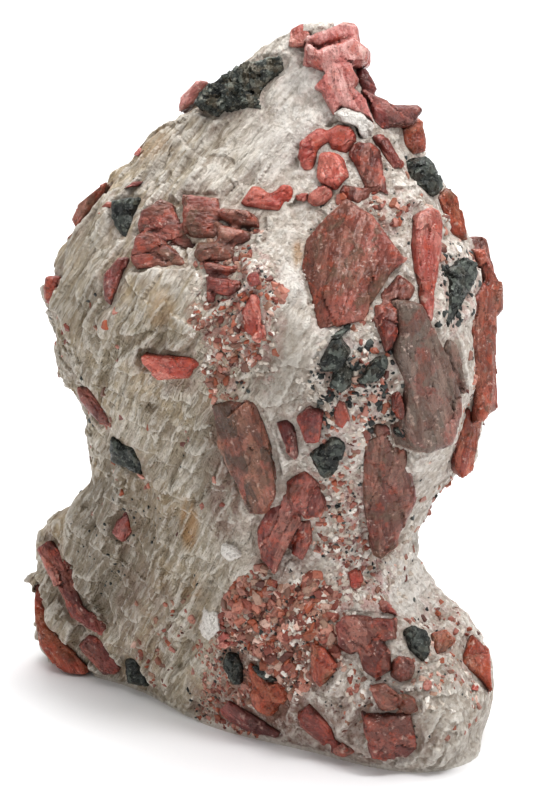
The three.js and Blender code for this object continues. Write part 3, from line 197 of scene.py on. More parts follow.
# Fields of small grains: mineral, azimuth of the view, middle across and up, half width and half height,
# count, sizes, and how much of the field they keep to (from 0, none of it, to 1).
GRAIN_FIELDS = [
    ("rhodonite", 0, (3, 28), (13, 14), 1250, (0.6, 2.4), 0.9),
    ("calcite", 0, (3, 28), (13, 14), 520, (0.5, 1.6), 0.85),
    ("franklinite", 0, (3, 28), (13, 14), 240, (0.4, 1.2), 0.7),
    ("rhodonite", 0, (-8, 16), (9, 13), 700, (0.5, 1.3), 0.9),
    ("franklinite", 0, (-8, 16), (9, 13), 160, (0.4, 0.9), 0.8),
    ("rhodonite", 0, (-6, 92), (10, 20), 620, (0.6, 1.9), 0.8),
    ("calcite", 0, (-6, 92), (10, 20), 260, (0.6, 1.4), 0.8),
    ("franklinite", 0, (-6, 92), (10, 20), 120, (0.4, 0.9), 0.8),
    ("franklinite", 0, (18, 78), (11, 14), 380, (0.5, 1.7), 0.72),
    ("rhodonite", 0, (18, 77), (12, 17), 330, (0.6, 1.8), 0.7),
    ("calcite", 0, (18, 77), (12, 17), 260, (0.6, 1.5), 0.75),
    ("franklinite", 0, (38, 96), (6, 10), 110, (0.5, 1.6), 0.85),
    ("rhodonite", 0, (19, 46), (11, 20), 460, (0.5, 1.6), 0.7),
    ("calcite", 0, (19, 46), (11, 20), 420, (0.6, 1.5), 0.75),
    ("franklinite", 0, (19, 46), (11, 20), 190, (0.4, 1.2), 0.7),
    ("rhodonite", 0, (21, 111), (13, 9), 240, (0.6, 2.0), 0.7),
    ("franklinite", 0, (19, 113), (17, 11), 90, (0.4, 1.0), 0.7),
    ("rhodonite", 0, (-20, 27), (7, 14), 130, (0.6, 2.0), 0.7),
    ("rhodonite", 0, (28, 19), (19, 18), 420, (0.5, 1.6), 0.65),
    ("calcite", 0, (28, 19), (19, 18), 200, (0.6, 1.6), 0.7),
    ("franklinite", 0, (28, 19), (19, 18), 120, (0.4, 1.0), 0.6),
    ("franklinite", 0, (-30, 47), (10, 15), 80, (0.4, 1.0), 0.7),
    ("rhodonite", 90, (0, 70), (36, 64), 900, (0.6, 2.0), 0.65),
    ("calcite", 90, (0, 70), (36, 64), 300, (0.6, 1.6), 0.65),
    ("franklinite", 90, (0, 70), (36, 64), 280, (0.4, 1.5), 0.65),
    ("rhodonite", 180, (0, 70), (42, 64), 800, (0.6, 2.0), 0.6),
    ("calcite", 180, (0, 70), (42, 64), 260, (0.6, 1.6), 0.6),
    ("franklinite", 180, (0, 70), (42, 64), 240, (0.4, 1.4), 0.6),
    ("rhodonite", 270, (0, 66), (36, 60), 340, (0.6, 1.8), 0.55),
    ("franklinite", 270, (0, 66), (36, 60), 120, (0.4, 1.3), 0.55),
]
GRAIN_SHAPES = 12
GRAIN_CORNERS = 16
GRAIN_PROPORTIONS = {
    "rhodonite": (0.7, 0.46, 0.36),
    "calcite": (0.7, 0.46, 0.36),
    "franklinite": (0.5, 0.45, 0.4),
}
GRAIN_PATCH = 6.0  # size of the patches that grains gather in
GRAIN_FADE = 0.5  # how much fewer they are at a field's rim
GRAIN_TIP = 0.7  # how much they are tipped
GRAIN_SINKING = 0.07  # the grains are sunk by none to three of these shares of their size
LOWEST_GRAIN = 0.6
GRAIN_CLEARANCE = 0.3  # no grain lies on calcite that a crystal covers, or nearly

RHODONITE_LOOKS = {
    "brown": ["shield", "brow", "left_brow", "tail", "back_blade", "long_blade"],
    "grey": ["slab"],
    "brick": [
        "fork", "finger_long", "finger_slim", "tablets", "left_low", "toe_band", "toe_tip", "brick",
        "foot_drop", "foot_mid_prism", "red_wedge", "side_group",
    ],
    "crusted": ["prism"],
    "rust": ["column"],
    "umber": ["square"],
    "rose": ["crown", "top_nub"],
    "salmon": ["finger_right", "oval", "back_group"],
    "maroon": ["crown_shoulder", "left_drop", "neck_chip", "foot_dark_prism", "purple_finger", "maroon"],
    "orange": [
        "right_rim", "right_shoulder", "knob", "crown_corner", "left_rim", "toe_edge", "orange_wedge",
        "foot_right_wedge", "foot_left_wedge",
    ],
    "coral": ["fingers", "finger_stub", "flame", "spindle"],
}
# Each look's colours, as a screen shows them: fresh face, deeper patches, pale streaks and rims (the rims
# a painted highlight), altered crust; and how much of it is altered.
RHODONITE_PIGMENTS = {
    "brown": ((128, 74, 61), (99, 54, 44), (184, 132, 116), (104, 80, 64), 0.4),
    "grey": ((124, 88, 78), (98, 72, 62), (164, 134, 122), (108, 94, 84), 0.75),
    "brick": ((134, 64, 54), (92, 40, 34), (196, 138, 122), (98, 68, 56), 0.22),
    "rust": ((150, 76, 58), (114, 52, 38), (188, 126, 106), (104, 78, 64), 0.3),
    "umber": ((114, 62, 52), (88, 44, 38), (160, 108, 94), (90, 66, 56), 0.25),
    "salmon": ((178, 98, 86), (146, 66, 56), (224, 172, 158), (130, 88, 74), 0.14),
    "maroon": ((126, 60, 56), (92, 42, 40), (180, 126, 116), (94, 66, 58), 0.25),
    "orange": ((158, 72, 44), (122, 50, 32), (202, 138, 112), (114, 78, 54), 0.25),
    "coral": ((180, 84, 70), (146, 54, 44), (222, 156, 140), (130, 80, 66), 0.12),
    "rose": ((204, 146, 140), (172, 100, 94), (234, 198, 190), (160, 116, 106), 0.12),
    "crusted": ((136, 82, 68), (90, 56, 44), (190, 136, 112), (82, 60, 46), 0.7),
}
# Dark of the grit and seams, also of the painted shade in hollows.
RHODONITE_DARK = (58, 32, 27)
# The shades that the small grains of a mineral have, and that of the grit on them.
GRAIN_SHADES = {
    "rhodonite": ([
        (88, 54, 46), (140, 74, 60), (176, 124, 110), (120, 88, 74), (164, 88, 60), (196, 140, 124),
        (150, 118, 98), (226, 192, 178),
    ], (74, 46, 38)),
    "calcite": ([(176, 160, 146), (214, 204, 192), (236, 230, 222)], (120, 98, 84)),
    "franklinite": ([(30, 32, 31), (50, 54, 52), (84, 88, 84)], (18, 18, 17)),
}
OTHER_SLOTS = {"black": "franklinite", "white": "calcite"}  # for what is not rhodonite

# Studio
FLOOR_SIZE = 8000.0
FLOOR_COLOUR = (244, 244, 245)
SKY_STRENGTH = 0.52
LAMPS = {  # place, size, power
    "overhead": ((40, 60, 760), 900, 4.2),
    "backdrop": ((0, 750, 900), 900, 4.5),
    "key": ((260, -200, 560), 160, 1.3),
}


# meshes as arrays


def array_of(items, name, width, kind=float):
    flat = np.empty(len(items) * width, dtype=kind)
    items.foreach_get(name, flat)
    return flat.reshape(-1, width)


def points_of(mesh):
    return array_of(mesh.vertices, "co", 3) * METRE


def normals_of(mesh):
    return array_of(mesh.vertex_normals, "vector", 3)


def edges_of(mesh):
    return array_of(mesh.edges, "vertices", 2, np.int32)


def set_points(mesh, points):
    mesh.vertices.foreach_set("co", (points / METRE).ravel())
    mesh.update()


def mark(mesh, **marks):
    """Gives the points of a mesh what its material needs: a value or a vector for each, or one for all."""
    for name, values in marks.items():
        kind, field = ("FLOAT_VECTOR", "vector") if np.ndim(values) == 2 else ("FLOAT", "value")
        layer = mesh.attributes.new(name, kind, "POINT")
        full = values if np.ndim(values) else np.full(len(mesh.vertices), values)
        layer.data.foreach_set(field, np.asarray(full, dtype=np.float32).ravel())


def smoothed(points, edges, rounds, share=0.5, free=None):
    """Each point drawn toward the mean of its neighbours. Where free is given, it is each point's share."""
    start, end = edges.T
    count = np.bincount(edges.ravel(), minlength=len(points))[:, None]
    weight = share if free is None else share * free[:, None]
    for _ in range(rounds):
        total = np.empty_like(points)
        for axis in range(3):
            column = points[:, axis]
            total[:, axis] = np.bincount(start, column[end], len(points))
            total[:, axis] += np.bincount(end, column[start], len(points))
        points = points + weight * (total / count - points)
    return points


def relaxed(points, edges, free, rounds):
    """The free points drawn into an even skin between the others."""
    busy = edges[free[edges[:, 0]] | free[edges[:, 1]]]
    used, own = np.unique(busy, return_inverse=True)
    points = points.copy()
    points[used] = smoothed(points[used], own.reshape(-1, 2), rounds, 0.9, free[used].astype(float))
    return points


def spread(values, edges, rounds):
    """Values over a mesh, blurred."""
    return smoothed(np.repeat(values[:, None], 3, axis=1), edges, rounds)[:, 0]


def new_object(name, data):
    made = bpy.data.objects.new(name, data)
    bpy.context.scene.collection.objects.link(made)
    return made


def mesh_from(points, faces, name):
    mesh = bpy.data.meshes.new(name)
    mesh.from_pydata((np.asarray(points) / METRE).tolist(), [], [list(map(int, face)) for face in faces])
    mesh.update()
    return mesh


def shape_of(mesh):
    """The points and the faces of a mesh."""
    return points_of(mesh), [tuple(face.vertices) for face in mesh.polygons]


def joined(shapes, name):
    """One mesh of several shapes."""
    points, faces, count = [], [], 0
    for own_points, own_faces in shapes:
        points.append(own_points)
        faces.extend(tuple(corner + count for corner in face) for face in own_faces)
        count += len(own_points)
    return mesh_from(np.concatenate(points), faces, name)


def welded(mesh):
    """The mesh with the corners that lie on each other made one, so that it is closed."""
    work = bmesh.new()
    work.from_mesh(mesh)
    bmesh.ops.remove_doubles(work, verts=work.verts, dist=1e-7)
    result = bpy.data.meshes.new(mesh.name + "_welded")
    work.to_mesh(result)
    work.free()
    return result


def modified(mesh, kind, name, **settings):
    """The mesh as a modifier leaves it."""
    holder = new_object(name, mesh)
    modifier = holder.modifiers.new(kind, kind)
    for setting, value in settings.items():
        setattr(modifier, setting, value)
    bpy.context.view_layer.update()
    shaped = holder.evaluated_get(bpy.context.evaluated_depsgraph_get())
    result = bpy.data.meshes.new_from_object(shaped)
    result.name = name
    bpy.data.objects.remove(holder)
    return result


def remeshed(mesh, step, name):
    """The mesh's closed outside in even square faces."""
    return modified(mesh, "REMESH", name, mode="VOXEL", voxel_size=step / METRE)


def thinned(mesh, triangles):
    """The mesh with faces taken out where it is flattest, down to a number of triangles."""
    count = sum(len(face.vertices) - 2 for face in mesh.polygons)
    if count <= triangles:
        return mesh
    return modified(mesh, "DECIMATE", mesh.name, ratio=triangles / count)


def tree_of(shapes):
    """Shapes as one, made for finding what is near to a point or on a ray."""
    points, faces = shape_of(joined(shapes, "together"))
    return BVHTree.FromPolygons(points.tolist(), faces)


def is_near(tree, points, reach):
    """1 for each point that the tree has something near to, 0 for the others."""
    return np.array([float(tree.find_nearest(point, reach)[0] is not None) for point in points.tolist()])


# repeatable randomness, where each use has a seed of its own


def scatter(i, j, k, seed):
    """Values from 0 to 1 that look random but are always the same for the same whole numbers."""
    i, j, k = [np.asarray(value).astype(np.int64).astype(np.uint32) for value in (i, j, k)]
    mixed = i * np.uint32(374761393) ^ j * np.uint32(668265263) ^ k * np.uint32(1440662683)
    mixed = mixed ^ np.uint32(seed * 2246822519 % 4294967296)
    mixed = (mixed ^ (mixed >> np.uint32(13))) * np.uint32(1274126177)
    mixed = (mixed ^ (mixed >> np.uint32(15))) * np.uint32(2654435761)
    return (mixed ^ (mixed >> np.uint32(16))) / 4294967296.0


def scatter_vectors(cells, seed):
    return np.stack([scatter(*cells, seed + axis) for axis in range(3)], axis=1)


def noise(points, size, seed):
    """Smooth random heights from -1 to 1, with features of about the given size."""
    scaled = points / size + seed * 0.37
    cell = np.floor(scaled).astype(int)
    share = scaled - cell
    share = share * share * (3 - 2 * share)
    total = np.zeros(len(points))
    for corner in itertools.product((0, 1), repeat=3):
        weight = np.prod(np.where(corner, share, 1 - share), axis=1)
        total += weight * scatter(*(cell + corner).T, seed)
    return 2 * total - 1


def rough_noise(points, size, seed, octaves=3):
    """Noise with finer noise on it."""
    layers = [noise(points, size / 2**step, seed + step) / 2**step for step in range(octaves)]
    return sum(layers) / 1.5


def noise_vectors(points, size, seed):
    return np.stack([noise(points, size, seed + axis) for axis in range(3)], axis=1)


def facets(points, axes, sizes, seed):
    """Heights of small flat faces that are tilted at random, and how far inside its own face each point is.
    The faces have the given sizes along the given axes."""
    own = points @ axes.T / sizes
    base = np.floor(own).astype(int)
    nearest = np.full(len(points), 9.0)
    second = np.full(len(points), 9.0)
    height = np.zeros(len(points))
    for step in itertools.product((-1, 0, 1), repeat=3):
        cell = base + step
        away = own - (cell + scatter_vectors(cell.T, seed))
        distance = np.linalg.norm(away, axis=1)
        tilt = scatter_vectors(cell.T, seed + 3) - 0.5
        here = FACET_TILT * (away * tilt).sum(axis=1) + 2 * scatter(*cell.T, seed + 6) - 1
        closer = distance < nearest
        second = np.where(closer, nearest, np.minimum(second, distance))
        height = np.where(closer, here, height)
        nearest = np.minimum(nearest, distance)
    return height, second - nearest


# the view


def view_axes(azimuth):
    """A view's directions to the right, ahead and up."""
    turn = math.radians(azimuth)
    right = np.array([math.cos(turn), math.sin(turn), 0.0])
    level = np.array([-math.sin(turn), math.cos(turn), 0.0])
    ahead = level * math.cos(VIEW_RISE) - np.array([0.0, 0.0, math.sin(VIEW_RISE)])
    return right, ahead, np.cross(right, ahead)


def position_in_front(points):
    """Where the view of the front shows points: across and up."""
    right, ahead, up = view_axes(0)
    away = points - VIEW_TARGET
    share = VIEW_DISTANCE / (VIEW_DISTANCE + away @ ahead)
    return VIEW_CENTRE[0] + away @ right * share, VIEW_CENTRE[1] + away @ up * share


def seen(tree, azimuth, across, rise):
    """What a view sees of a tree at a position: the point, its normal, its face and its distance."""
    right, ahead, up = view_axes(azimuth)
    eye = VIEW_TARGET - ahead * VIEW_DISTANCE
    aim = VIEW_TARGET + right * (across - VIEW_CENTRE[0]) + up * (rise - VIEW_CENTRE[1])
    direction = aim - eye
    direction = direction / np.linalg.norm(direction)
    return tree.ray_cast(eye.tolist(), direction.tolist())


# crystals and grains


def node_mesh(node):
    return welded(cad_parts[node].data)


def swollen(mesh, distance):
    """The shape of a mesh, moved outward all over."""
    points, faces = shape_of(mesh)
    return points + normals_of(mesh) * distance, faces


def long_axes(points):
    """The middle of a crystal and its three main directions, the longest first."""
    middle = points.mean(axis=0)
    _, _, axes = np.linalg.svd(points - middle, full_matrices=False)
    return middle, axes


def crevices(mesh, surroundings):
    """How much of what is over each point is taken by something near it."""
    points, normals = points_of(mesh), normals_of(mesh)
    side = np.cross(normals, (0.31, 0.52, 0.8))
    side /= np.linalg.norm(side, axis=1)[:, None]
    other = np.cross(normals, side)
    hidden = np.zeros(len(points))
    starts = (points + CREVICE_START * normals).tolist()
    for turn in range(CREVICE_RAYS):
        angle = 2 * math.pi * turn / CREVICE_RAYS
        rays = CREVICE_OUT * normals + CREVICE_ASIDE * (side * math.cos(angle) + other * math.sin(angle))
        for index, (start, ray) in enumerate(zip(starts, rays.tolist())):
            distance = surroundings.ray_cast(start, ray, CREVICE_REACH)[3]
            if distance is not None:
                hidden[index] += 1 - distance / CREVICE_REACH
    return hidden / CREVICE_RAYS


def hollowness(points, normals, edges, rounds):
    """How far each point lies under the mean of its surroundings."""
    return ((smoothed(points, edges, rounds) - points) * normals).sum(axis=1)


def even_mesh(shape, step, name, rounds):
    """A shape in even faces and with edges that are worn a little; with its points, normals and edges."""
    mesh = remeshed(mesh_from(*shape, name), step, name)
    edges = edges_of(mesh)
    points = smoothed(points_of(mesh), edges, rounds)
    set_points(mesh, points)
    return mesh, points, normals_of(mesh), edges


def lift_surface(mesh, points, normals, edges, lift):
    """Moves a mesh's points out along its normals, and marks which of them then lie in hollows."""
    points = points + normals * lift[:, None]
    set_points(mesh, points)
    mark(mesh, hollow=hollowness(points, normals_of(mesh), edges, 5))


def rhodonite_mesh(shape, step, name, seed):
    """A rhodonite crystal: worn edges, steps along its length, and chips."""
    mesh, points, normals, edges = even_mesh(shape, step, name, 1)
    middle, axes = long_axes(points)
    own = (points - middle) @ axes.T
    faces, _ = facets(points, axes, BROAD_FACES, seed + 4)
    steps, inside = facets(points, axes, STEPS, seed)
    chips, _ = facets(points, axes, CHIPS, seed + 9)
    worn = np.clip(-hollowness(points, normals, edges, 6) / EDGE_HEIGHT, 0, 1)
    ribs = rough_noise(own * (0.15, 1.0, 1.0), RIBS, seed)
    lift = BROAD_FACE_HEIGHT * faces + STEP_HEIGHT * steps + RIB_HEIGHT * ribs
    lift -= SEAM_DEPTH * np.clip(1 - inside / SEAM_WIDTH, 0, 1)
    lift -= CHIP_DEPTH * worn * np.clip(chips, 0, 1)
    lift_surface(mesh, points, normals, edges, lift)
    mark(mesh, own=own, shade=scatter(seed, 7, 3, 1), facet=faces)
    return mesh


def hackly_mesh(shape, step, name, seed):
    """A rounded grain without crystal faces. The large franklinite at the top is the most hackly."""
    mesh, points, normals, edges = even_mesh(shape, step, name, 4)
    breaks, _ = facets(points, np.eye(3), BREAKS, seed)
    pits, _ = facets(points, np.eye(3), PITS, seed + 9)
    hackly = 1.0 if name.startswith("franklinite_top") else 0.5
    lift = hackly * (BREAK_HEIGHT * breaks + PIT_HEIGHT * pits)
    lift_surface(mesh, points, normals, edges, lift)
    mark(mesh, hackly=hackly)
    return mesh


def plane_in_view(spots):
    """Depth of the plane through points of the front, as shares of across, up and one."""
    right, ahead, up = view_axes(0)
    across, away, rise = spots @ right, spots @ ahead, spots @ up
    sides = np.stack([across, rise, np.ones(len(spots))], axis=1)
    slope = np.linalg.lstsq(sides, away, rcond=None)[0]
    slope[:2] = np.clip(slope[:2], -STEEPEST_SLIVER, STEEPEST_SLIVER)
    slope[2] = (away - across * slope[0] - rise * slope[1]).mean()
    return slope


def sliver_shape(outline, front, rise):
    """A small piece whose outline is drawn on the stone's front, narrower where it stands out."""
    corners = np.array(outline, dtype=float)
    middle = corners.mean(axis=0)
    spots = [seen(front, 0, *corner)[0] for corner in [*corners, middle]]
    spots = np.array([spot for spot in spots if spot is not None])
    right, ahead, up = view_axes(0)
    slope = plane_in_view(spots)
    scale = 1 + (spots @ ahead - VIEW_TARGET @ ahead).mean() / VIEW_DISTANCE
    rings = []
    for share, depth in [(SLIVER_TOP, -rise), (1.0, -0.3 * rise), (1.0, SLIVER_DEPTH)]:
        ring = middle + (corners - middle) * share
        side = (ring[:, 0] - VIEW_CENTRE[0]) * scale + VIEW_TARGET @ right
        height = (ring[:, 1] - VIEW_CENTRE[1]) * scale + VIEW_TARGET @ up
        away = side * slope[0] + height * slope[1] + slope[2] + depth
        rings.append(side[:, None] * right + height[:, None] * up + away[:, None] * ahead)
    count = len(corners)
    faces = [tuple(range(count))[::-1], tuple(range(2 * count, 3 * count))]
    for ring in range(2):
        for index in range(count):
            first, second = ring * count + index, ring * count + (index + 1) % count
            faces.append((first, second, second + count, first + count))
    return np.concatenate(rings), faces


def grain_shape(mineral, seed):
    """A small grain about 1 wide: a chipped block of rhodonite or calcite, a round of franklinite."""
    spots = np.arange(GRAIN_CORNERS)
    corners = np.stack([scatter(spots, seed, axis, 90) for axis in range(3)], axis=1) * 2 - 1
    corners /= (np.abs(corners) ** 3).sum(axis=1)[:, None] ** (1 / 3)
    corners *= GRAIN_PROPORTIONS[mineral]
    work = bmesh.new()
    for corner in corners.tolist():
        work.verts.new(corner)
    hull = bmesh.ops.convex_hull(work, input=work.verts)
    loose = [part for part in hull["geom_interior"] if isinstance(part, bmesh.types.BMVert)]
    bmesh.ops.delete(work, geom=loose, context="VERTS")
    work.verts.index_update()
    points = np.array([vert.co[:] for vert in work.verts])
    faces = [tuple(vert.index for vert in face.verts) for face in work.faces]
    work.free()
    return points, faces


def grain_axes(facing, seed):
    """The axes of a grain that lies flat on a surface, turned and tipped at random."""
    tip = np.array([float(scatter(seed, axis, 5, 77)) - 0.5 for axis in range(3)])
    out = facing + GRAIN_TIP * tip
    out /= np.linalg.norm(out)
    turn = 2 * math.pi * float(scatter(seed, 3, 5, 77))
    side = np.cross(out, (0.0, 0.6, 0.8))
    side /= np.linalg.norm(side)
    side = side * math.cos(turn) + np.cross(out, side) * math.sin(turn)
    return np.array([side, np.cross(out, side), out])


def grain_mesh(mineral, calcite, crystals):
    """The small grains of one mineral, each part sunk in the calcite, joined."""
    shapes = [grain_shape(mineral, seed) for seed in range(GRAIN_SHAPES)]
    grains, shades = [], []
    for field, (kind, azimuth, middle, half, count, sizes, kept) in enumerate(GRAIN_FIELDS):
        if kind != mineral:
            continue
        spots = np.arange(count)
        reach = scatter(spots, field, 1, 50) ** 0.5
        turn = 2 * math.pi * scatter(spots, field, 2, 50)
        across = middle[0] + half[0] * reach * np.cos(turn)
        rise = middle[1] + half[1] * reach * np.sin(turn)
        size = sizes[0] + (sizes[1] - sizes[0]) * scatter(spots, field, 3, 50) ** 2
        for index in range(count):
            spot, facing, _, distance = seen(calcite, azimuth, across[index], rise[index])
            if spot is None or spot.z < LOWEST_GRAIN:
                continue
            covered = seen(crystals, azimuth, across[index], rise[index])[3]
            if covered is not None and covered < distance + GRAIN_CLEARANCE:
                continue
            gathered = noise(np.array([spot[:]]), GRAIN_PATCH, 70 + field)[0] * 0.5 + 0.5
            if gathered + GRAIN_FADE * reach[index] ** 3 > kept:
                continue
            points, faces = shapes[index % GRAIN_SHAPES]
            facing = np.array(facing[:])
            place = np.array(spot[:]) - facing * size[index] * GRAIN_SINKING * (index % 4)
            axes = grain_axes(facing, index + 500 * field)
            grains.append((points @ axes * size[index] + place, faces))
            shades.append(np.full(len(points), float(scatter(index, field, 9, 51))))
    mesh = joined(grains, mineral + "_grains")
    mark(mesh, shade=np.concatenate(shades))
    return mesh


# calcite


def ledge_moves(points, normals, seed):
    """How far each point would move along its normal to lie on a ledge. Ledges follow the cleavage plane
    that the surface faces most, and end in steps along the other two planes."""
    facing = normals @ CLEAVAGE.T
    main = np.abs(facing).argmax(axis=1)
    rows = np.arange(len(points))
    along = points @ CLEAVAGE.T
    first, second = (main + 1) % 3, (main + 2) % 3
    a = along[rows, first] / LEDGE_WIDTHS[first]
    row = np.floor(a)
    b = along[rows, second] / LEDGE_WIDTHS[second] + scatter(row, main, 0, seed)
    column = np.floor(b)
    offset, slope_a, slope_b = [scatter(row, column, main, seed + step) - 0.5 for step in (1, 2, 3)]
    tilt = slope_a * (a - row - 0.5) * LEDGE_WIDTHS[first]
    tilt = tilt + slope_b * (b - column - 0.5) * LEDGE_WIDTHS[second]
    own = along[rows, main] / LEDGE_RISE
    level = np.round(own + offset) - offset
    move = ((level - own) * LEDGE_RISE + 2 * LEDGE_TILT * tilt) / facing[rows, main]
    return np.clip(move, -LONGEST_LEDGE_MOVE, LONGEST_LEDGE_MOVE)


def calcite_base(crystal_nodes):
    """The calcite's own surface, drawn smoothly across the sockets of its crystals: its mesh, points and
    edges, and which of the points lie across a socket."""
    filled = [swollen(node_mesh(node), SOCKET_FILL) for node in crystal_nodes]
    whole = joined([shape_of(node_mesh("calcite_matrix")), *filled], "whole")
    mesh = remeshed(whole, CALCITE_STEP, "calcite")
    points, edges = points_of(mesh), edges_of(mesh)
    covered = spread(is_near(tree_of(filled), points, COVER_REACH), edges, 2) > 0.2
    return mesh, relaxed(points, edges, covered, COVER_ROUNDS), edges, covered.astype(float)


def standing(points, was):
    """Points with their height kept over the floor, and flat where the stone rests."""
    low = was[:, 2] < FOOT_LEVEL
    points[low, 2] = 0.0
    points[:, 2] = np.maximum(points[:, 2], 0.0)
    return points


def soft_step(values, low, high):
    """0 where the values are under low, 1 over high, and smooth between."""
    share = np.clip((values - low) / (high - low), 0, 1)
    return share * share * (3 - 2 * share)


def zone_strength(points, normals, zones, seed):
    """How strongly each point belongs to soft-edged zones of the front."""
    _, ahead, _ = view_axes(0)
    across, rise = position_in_front(points)
    sway = rough_noise(points, 5, seed)
    strength = np.zeros(len(points))
    for middle_across, middle_rise, width, height, power in zones:
        reach = np.hypot((across - middle_across) / width, (rise - middle_rise) / height) + 0.35 * sway
        strength = np.maximum(strength, power * (1 - soft_step(reach, 0.6, 1.25)))
    return strength * soft_step(-(normals @ ahead), -0.1, 0.3)


def calcite_zones(points, normals):
    """How far each point lies in the sugary white zone and in the grey-beige one."""
    sway = rough_noise(points, 16, 60)
    sugar = soft_step(points[:, 0] + 0.12 * (70 - points[:, 2]) + 11 * sway, *SUGAR_BORDER)
    lower = 1 - soft_step(points[:, 2] + 8 * sway, *BEIGE_TOP)
    left = 1 - soft_step(points[:, 0] + 8 * sway, *BEIGE_SIDE)
    return sugar, left * np.maximum(lower, soft_step(-normals[:, 0], 0.2, 0.6))


def plates_on_edge(normals):
    """1 where the surface cuts across the calcite's plates, 0 where it lies along them."""
    return 1 - soft_step(np.abs(normals @ CLEAVAGE[0]), 0.72, 0.94)


def calcite_relief(points, normals, edges, covered):
    """How far each point of the calcite stands out over the smooth stone."""
    sugar, _ = calcite_zones(points, normals)
    bent = points + 0.9 * noise_vectors(points, 9, 20)
    askew = normals + 0.3 * noise_vectors(points, 6, 24)
    askew /= np.linalg.norm(askew, axis=1)[:, None]
    crisp = 1 - 0.8 * sugar * soft_step(noise(points, 15, 48), -0.5, 0.3)
    crisp = crisp * (0.4 + 0.6 * plates_on_edge(normals))
    rough = 0.25 + 0.75 * soft_step(noise(points, 8, 46), -0.35, 0.35)
    ledges = LEDGE_SHARE * crisp * ledge_moves(bent, askew, 100)
    broad_slabs, _ = facets(bent, BLADE_AXES, BROAD_SLABS, 104)
    slabs, inside = facets(bent, BLADE_AXES, SLABS, 110)
    thin_slabs, _ = facets(bent, BLADE_AXES, THIN_SLABS, 115)
    sugars, _ = facets(points, np.eye(3), SUGAR_FACETS, 130)
    crisp = crisp * (1 + 0.9 * zone_strength(points, normals, COLUMN_ZONES, 190))
    broad = BROAD_SLAB_HEIGHT * spread(broad_slabs, edges, 2)
    middling = SLAB_HEIGHT * spread(slabs, edges, 1)
    thin = THIN_SLAB_HEIGHT * rough * spread(thin_slabs, edges, 2)
    joints = JOINT_DEPTH * crisp * np.clip(1 - inside / JOINT_WIDTH, 0, 1)
    relief = ledges + crisp * (broad + middling + thin)
    relief += SUGAR_HEIGHT * sugar * sugars - joints
    waves = WAVE_HEIGHT * rough_noise(points, WAVES, 40)
    relief += waves + ROUGHNESS_HEIGHT * rough_noise(points, ROUGHNESS, 44)
    open_share = 1 - np.clip(1.2 * spread(covered, edges, 2), 0, 1)
    fade = soft_step(points[:, 2], 0, RELIEF_FADE)
    return fade * (open_share * relief - (1 - open_share) * COVER_DEPTH)


def pushed_under(points, normals, edges, crystals):
    """The points, with those that would lie over a crystal's face moved under it."""
    push = np.zeros(len(points))
    for index, point in enumerate(points.tolist()):
        spot, facing, _, distance = crystals.find_nearest(point, PUSH_REACH)
        if spot is None:
            continue
        straight_over = (Vector(point) - spot).dot(facing) > OVER_FACE * distance
        if straight_over and facing.dot(normals[index]) > SAME_WAY:
            push[index] = distance + PUSH_DEPTH
    # Small patches of such points stay where they are, and the others get an even rim.
    push *= soft_step(spread((push > 0).astype(float), edges, 8), 0.3, 0.6)
    push = np.minimum(push, 1.6 * spread(push, edges, 4))
    push = np.maximum(push, spread(push, edges, 2))
    return points - normals * push[:, None]


def without_pits(points, normals, edges, crystals):
    """The points, with narrow pits that lie away from the crystals filled to shallow dents."""
    depth = hollowness(points, normals, edges, PIT_ROUNDS)
    near = spread(is_near(crystals, points, PIT_CLEARANCE), edges, 2)
    lift = np.maximum(depth - PIT_DEPTH, 0) * (1 - near)
    return points + normals * spread(lift, edges, 1)[:, None]


def calcite_mesh(crystal_nodes, crystals):
    """The calcite with its slabs, ledges and fine breaks, closed round its crystals."""
    mesh, base, edges, covered = calcite_base(crystal_nodes)
    points = standing(smoothed(base, edges, CALMING_ROUNDS), base)
    set_points(mesh, points)
    normals = normals_of(mesh)
    relief = calcite_relief(points, normals, edges, covered)
    points = standing(points + normals * relief[:, None], base)
    for change in (pushed_under, without_pits):
        set_points(mesh, points)
        points = change(points, normals_of(mesh), edges, crystals)
    set_points(mesh, standing(points, base))
    return thinned(mesh, CALCITE_TRIANGLES)


def mark_calcite(mesh, crystals):
    """Gives the calcite the values that its colours are drawn from."""
    points, normals, edges = points_of(mesh), normals_of(mesh), edges_of(mesh)
    near = np.array([crystals.find_nearest(point, NEAR_FADE)[3] or NEAR_FADE for point in points.tolist()])
    sugar, beige = calcite_zones(points, normals)
    mark(
        mesh, hollow=hollowness(points, normals, edges, 3), deep=hollowness(points, normals, edges, 25),
        sugar=sugar, beige=beige, near=np.clip(1 - near / NEAR_FADE, 0, 1),
        crisp=(1 - 0.75 * sugar) * plates_on_edge(normals),
    )
    for name, (seed, zones) in CALCITE_MARKS.items():
        mark(mesh, **{name: zone_strength(points, normals, zones, seed)})


def mark_white(mesh):
    """Gives a small piece of calcite the same values, for white all over."""
    points, normals = points_of(mesh), normals_of(mesh)
    deep = hollowness(points, normals, edges_of(mesh), 25)
    mark(mesh, deep=deep, crisp=0.25 * plates_on_edge(normals), sugar=1.0, clean=1.0)
    mark(mesh, beige=0.0, near=0.0, stain=0.0, dull=0.0, amber=0.0, blush=0.0)


# materials


def srgb(red, green, blue):
    """A colour as a shader takes it, from values of 0 to 255 as a screen shows them."""
    values = [channel / 255 for channel in (red, green, blue)]
    linear = [v / 12.92 if v <= 0.04045 else ((v + 0.055) / 1.055) ** 2.4 for v in values]
    return (*linear, 1.0)


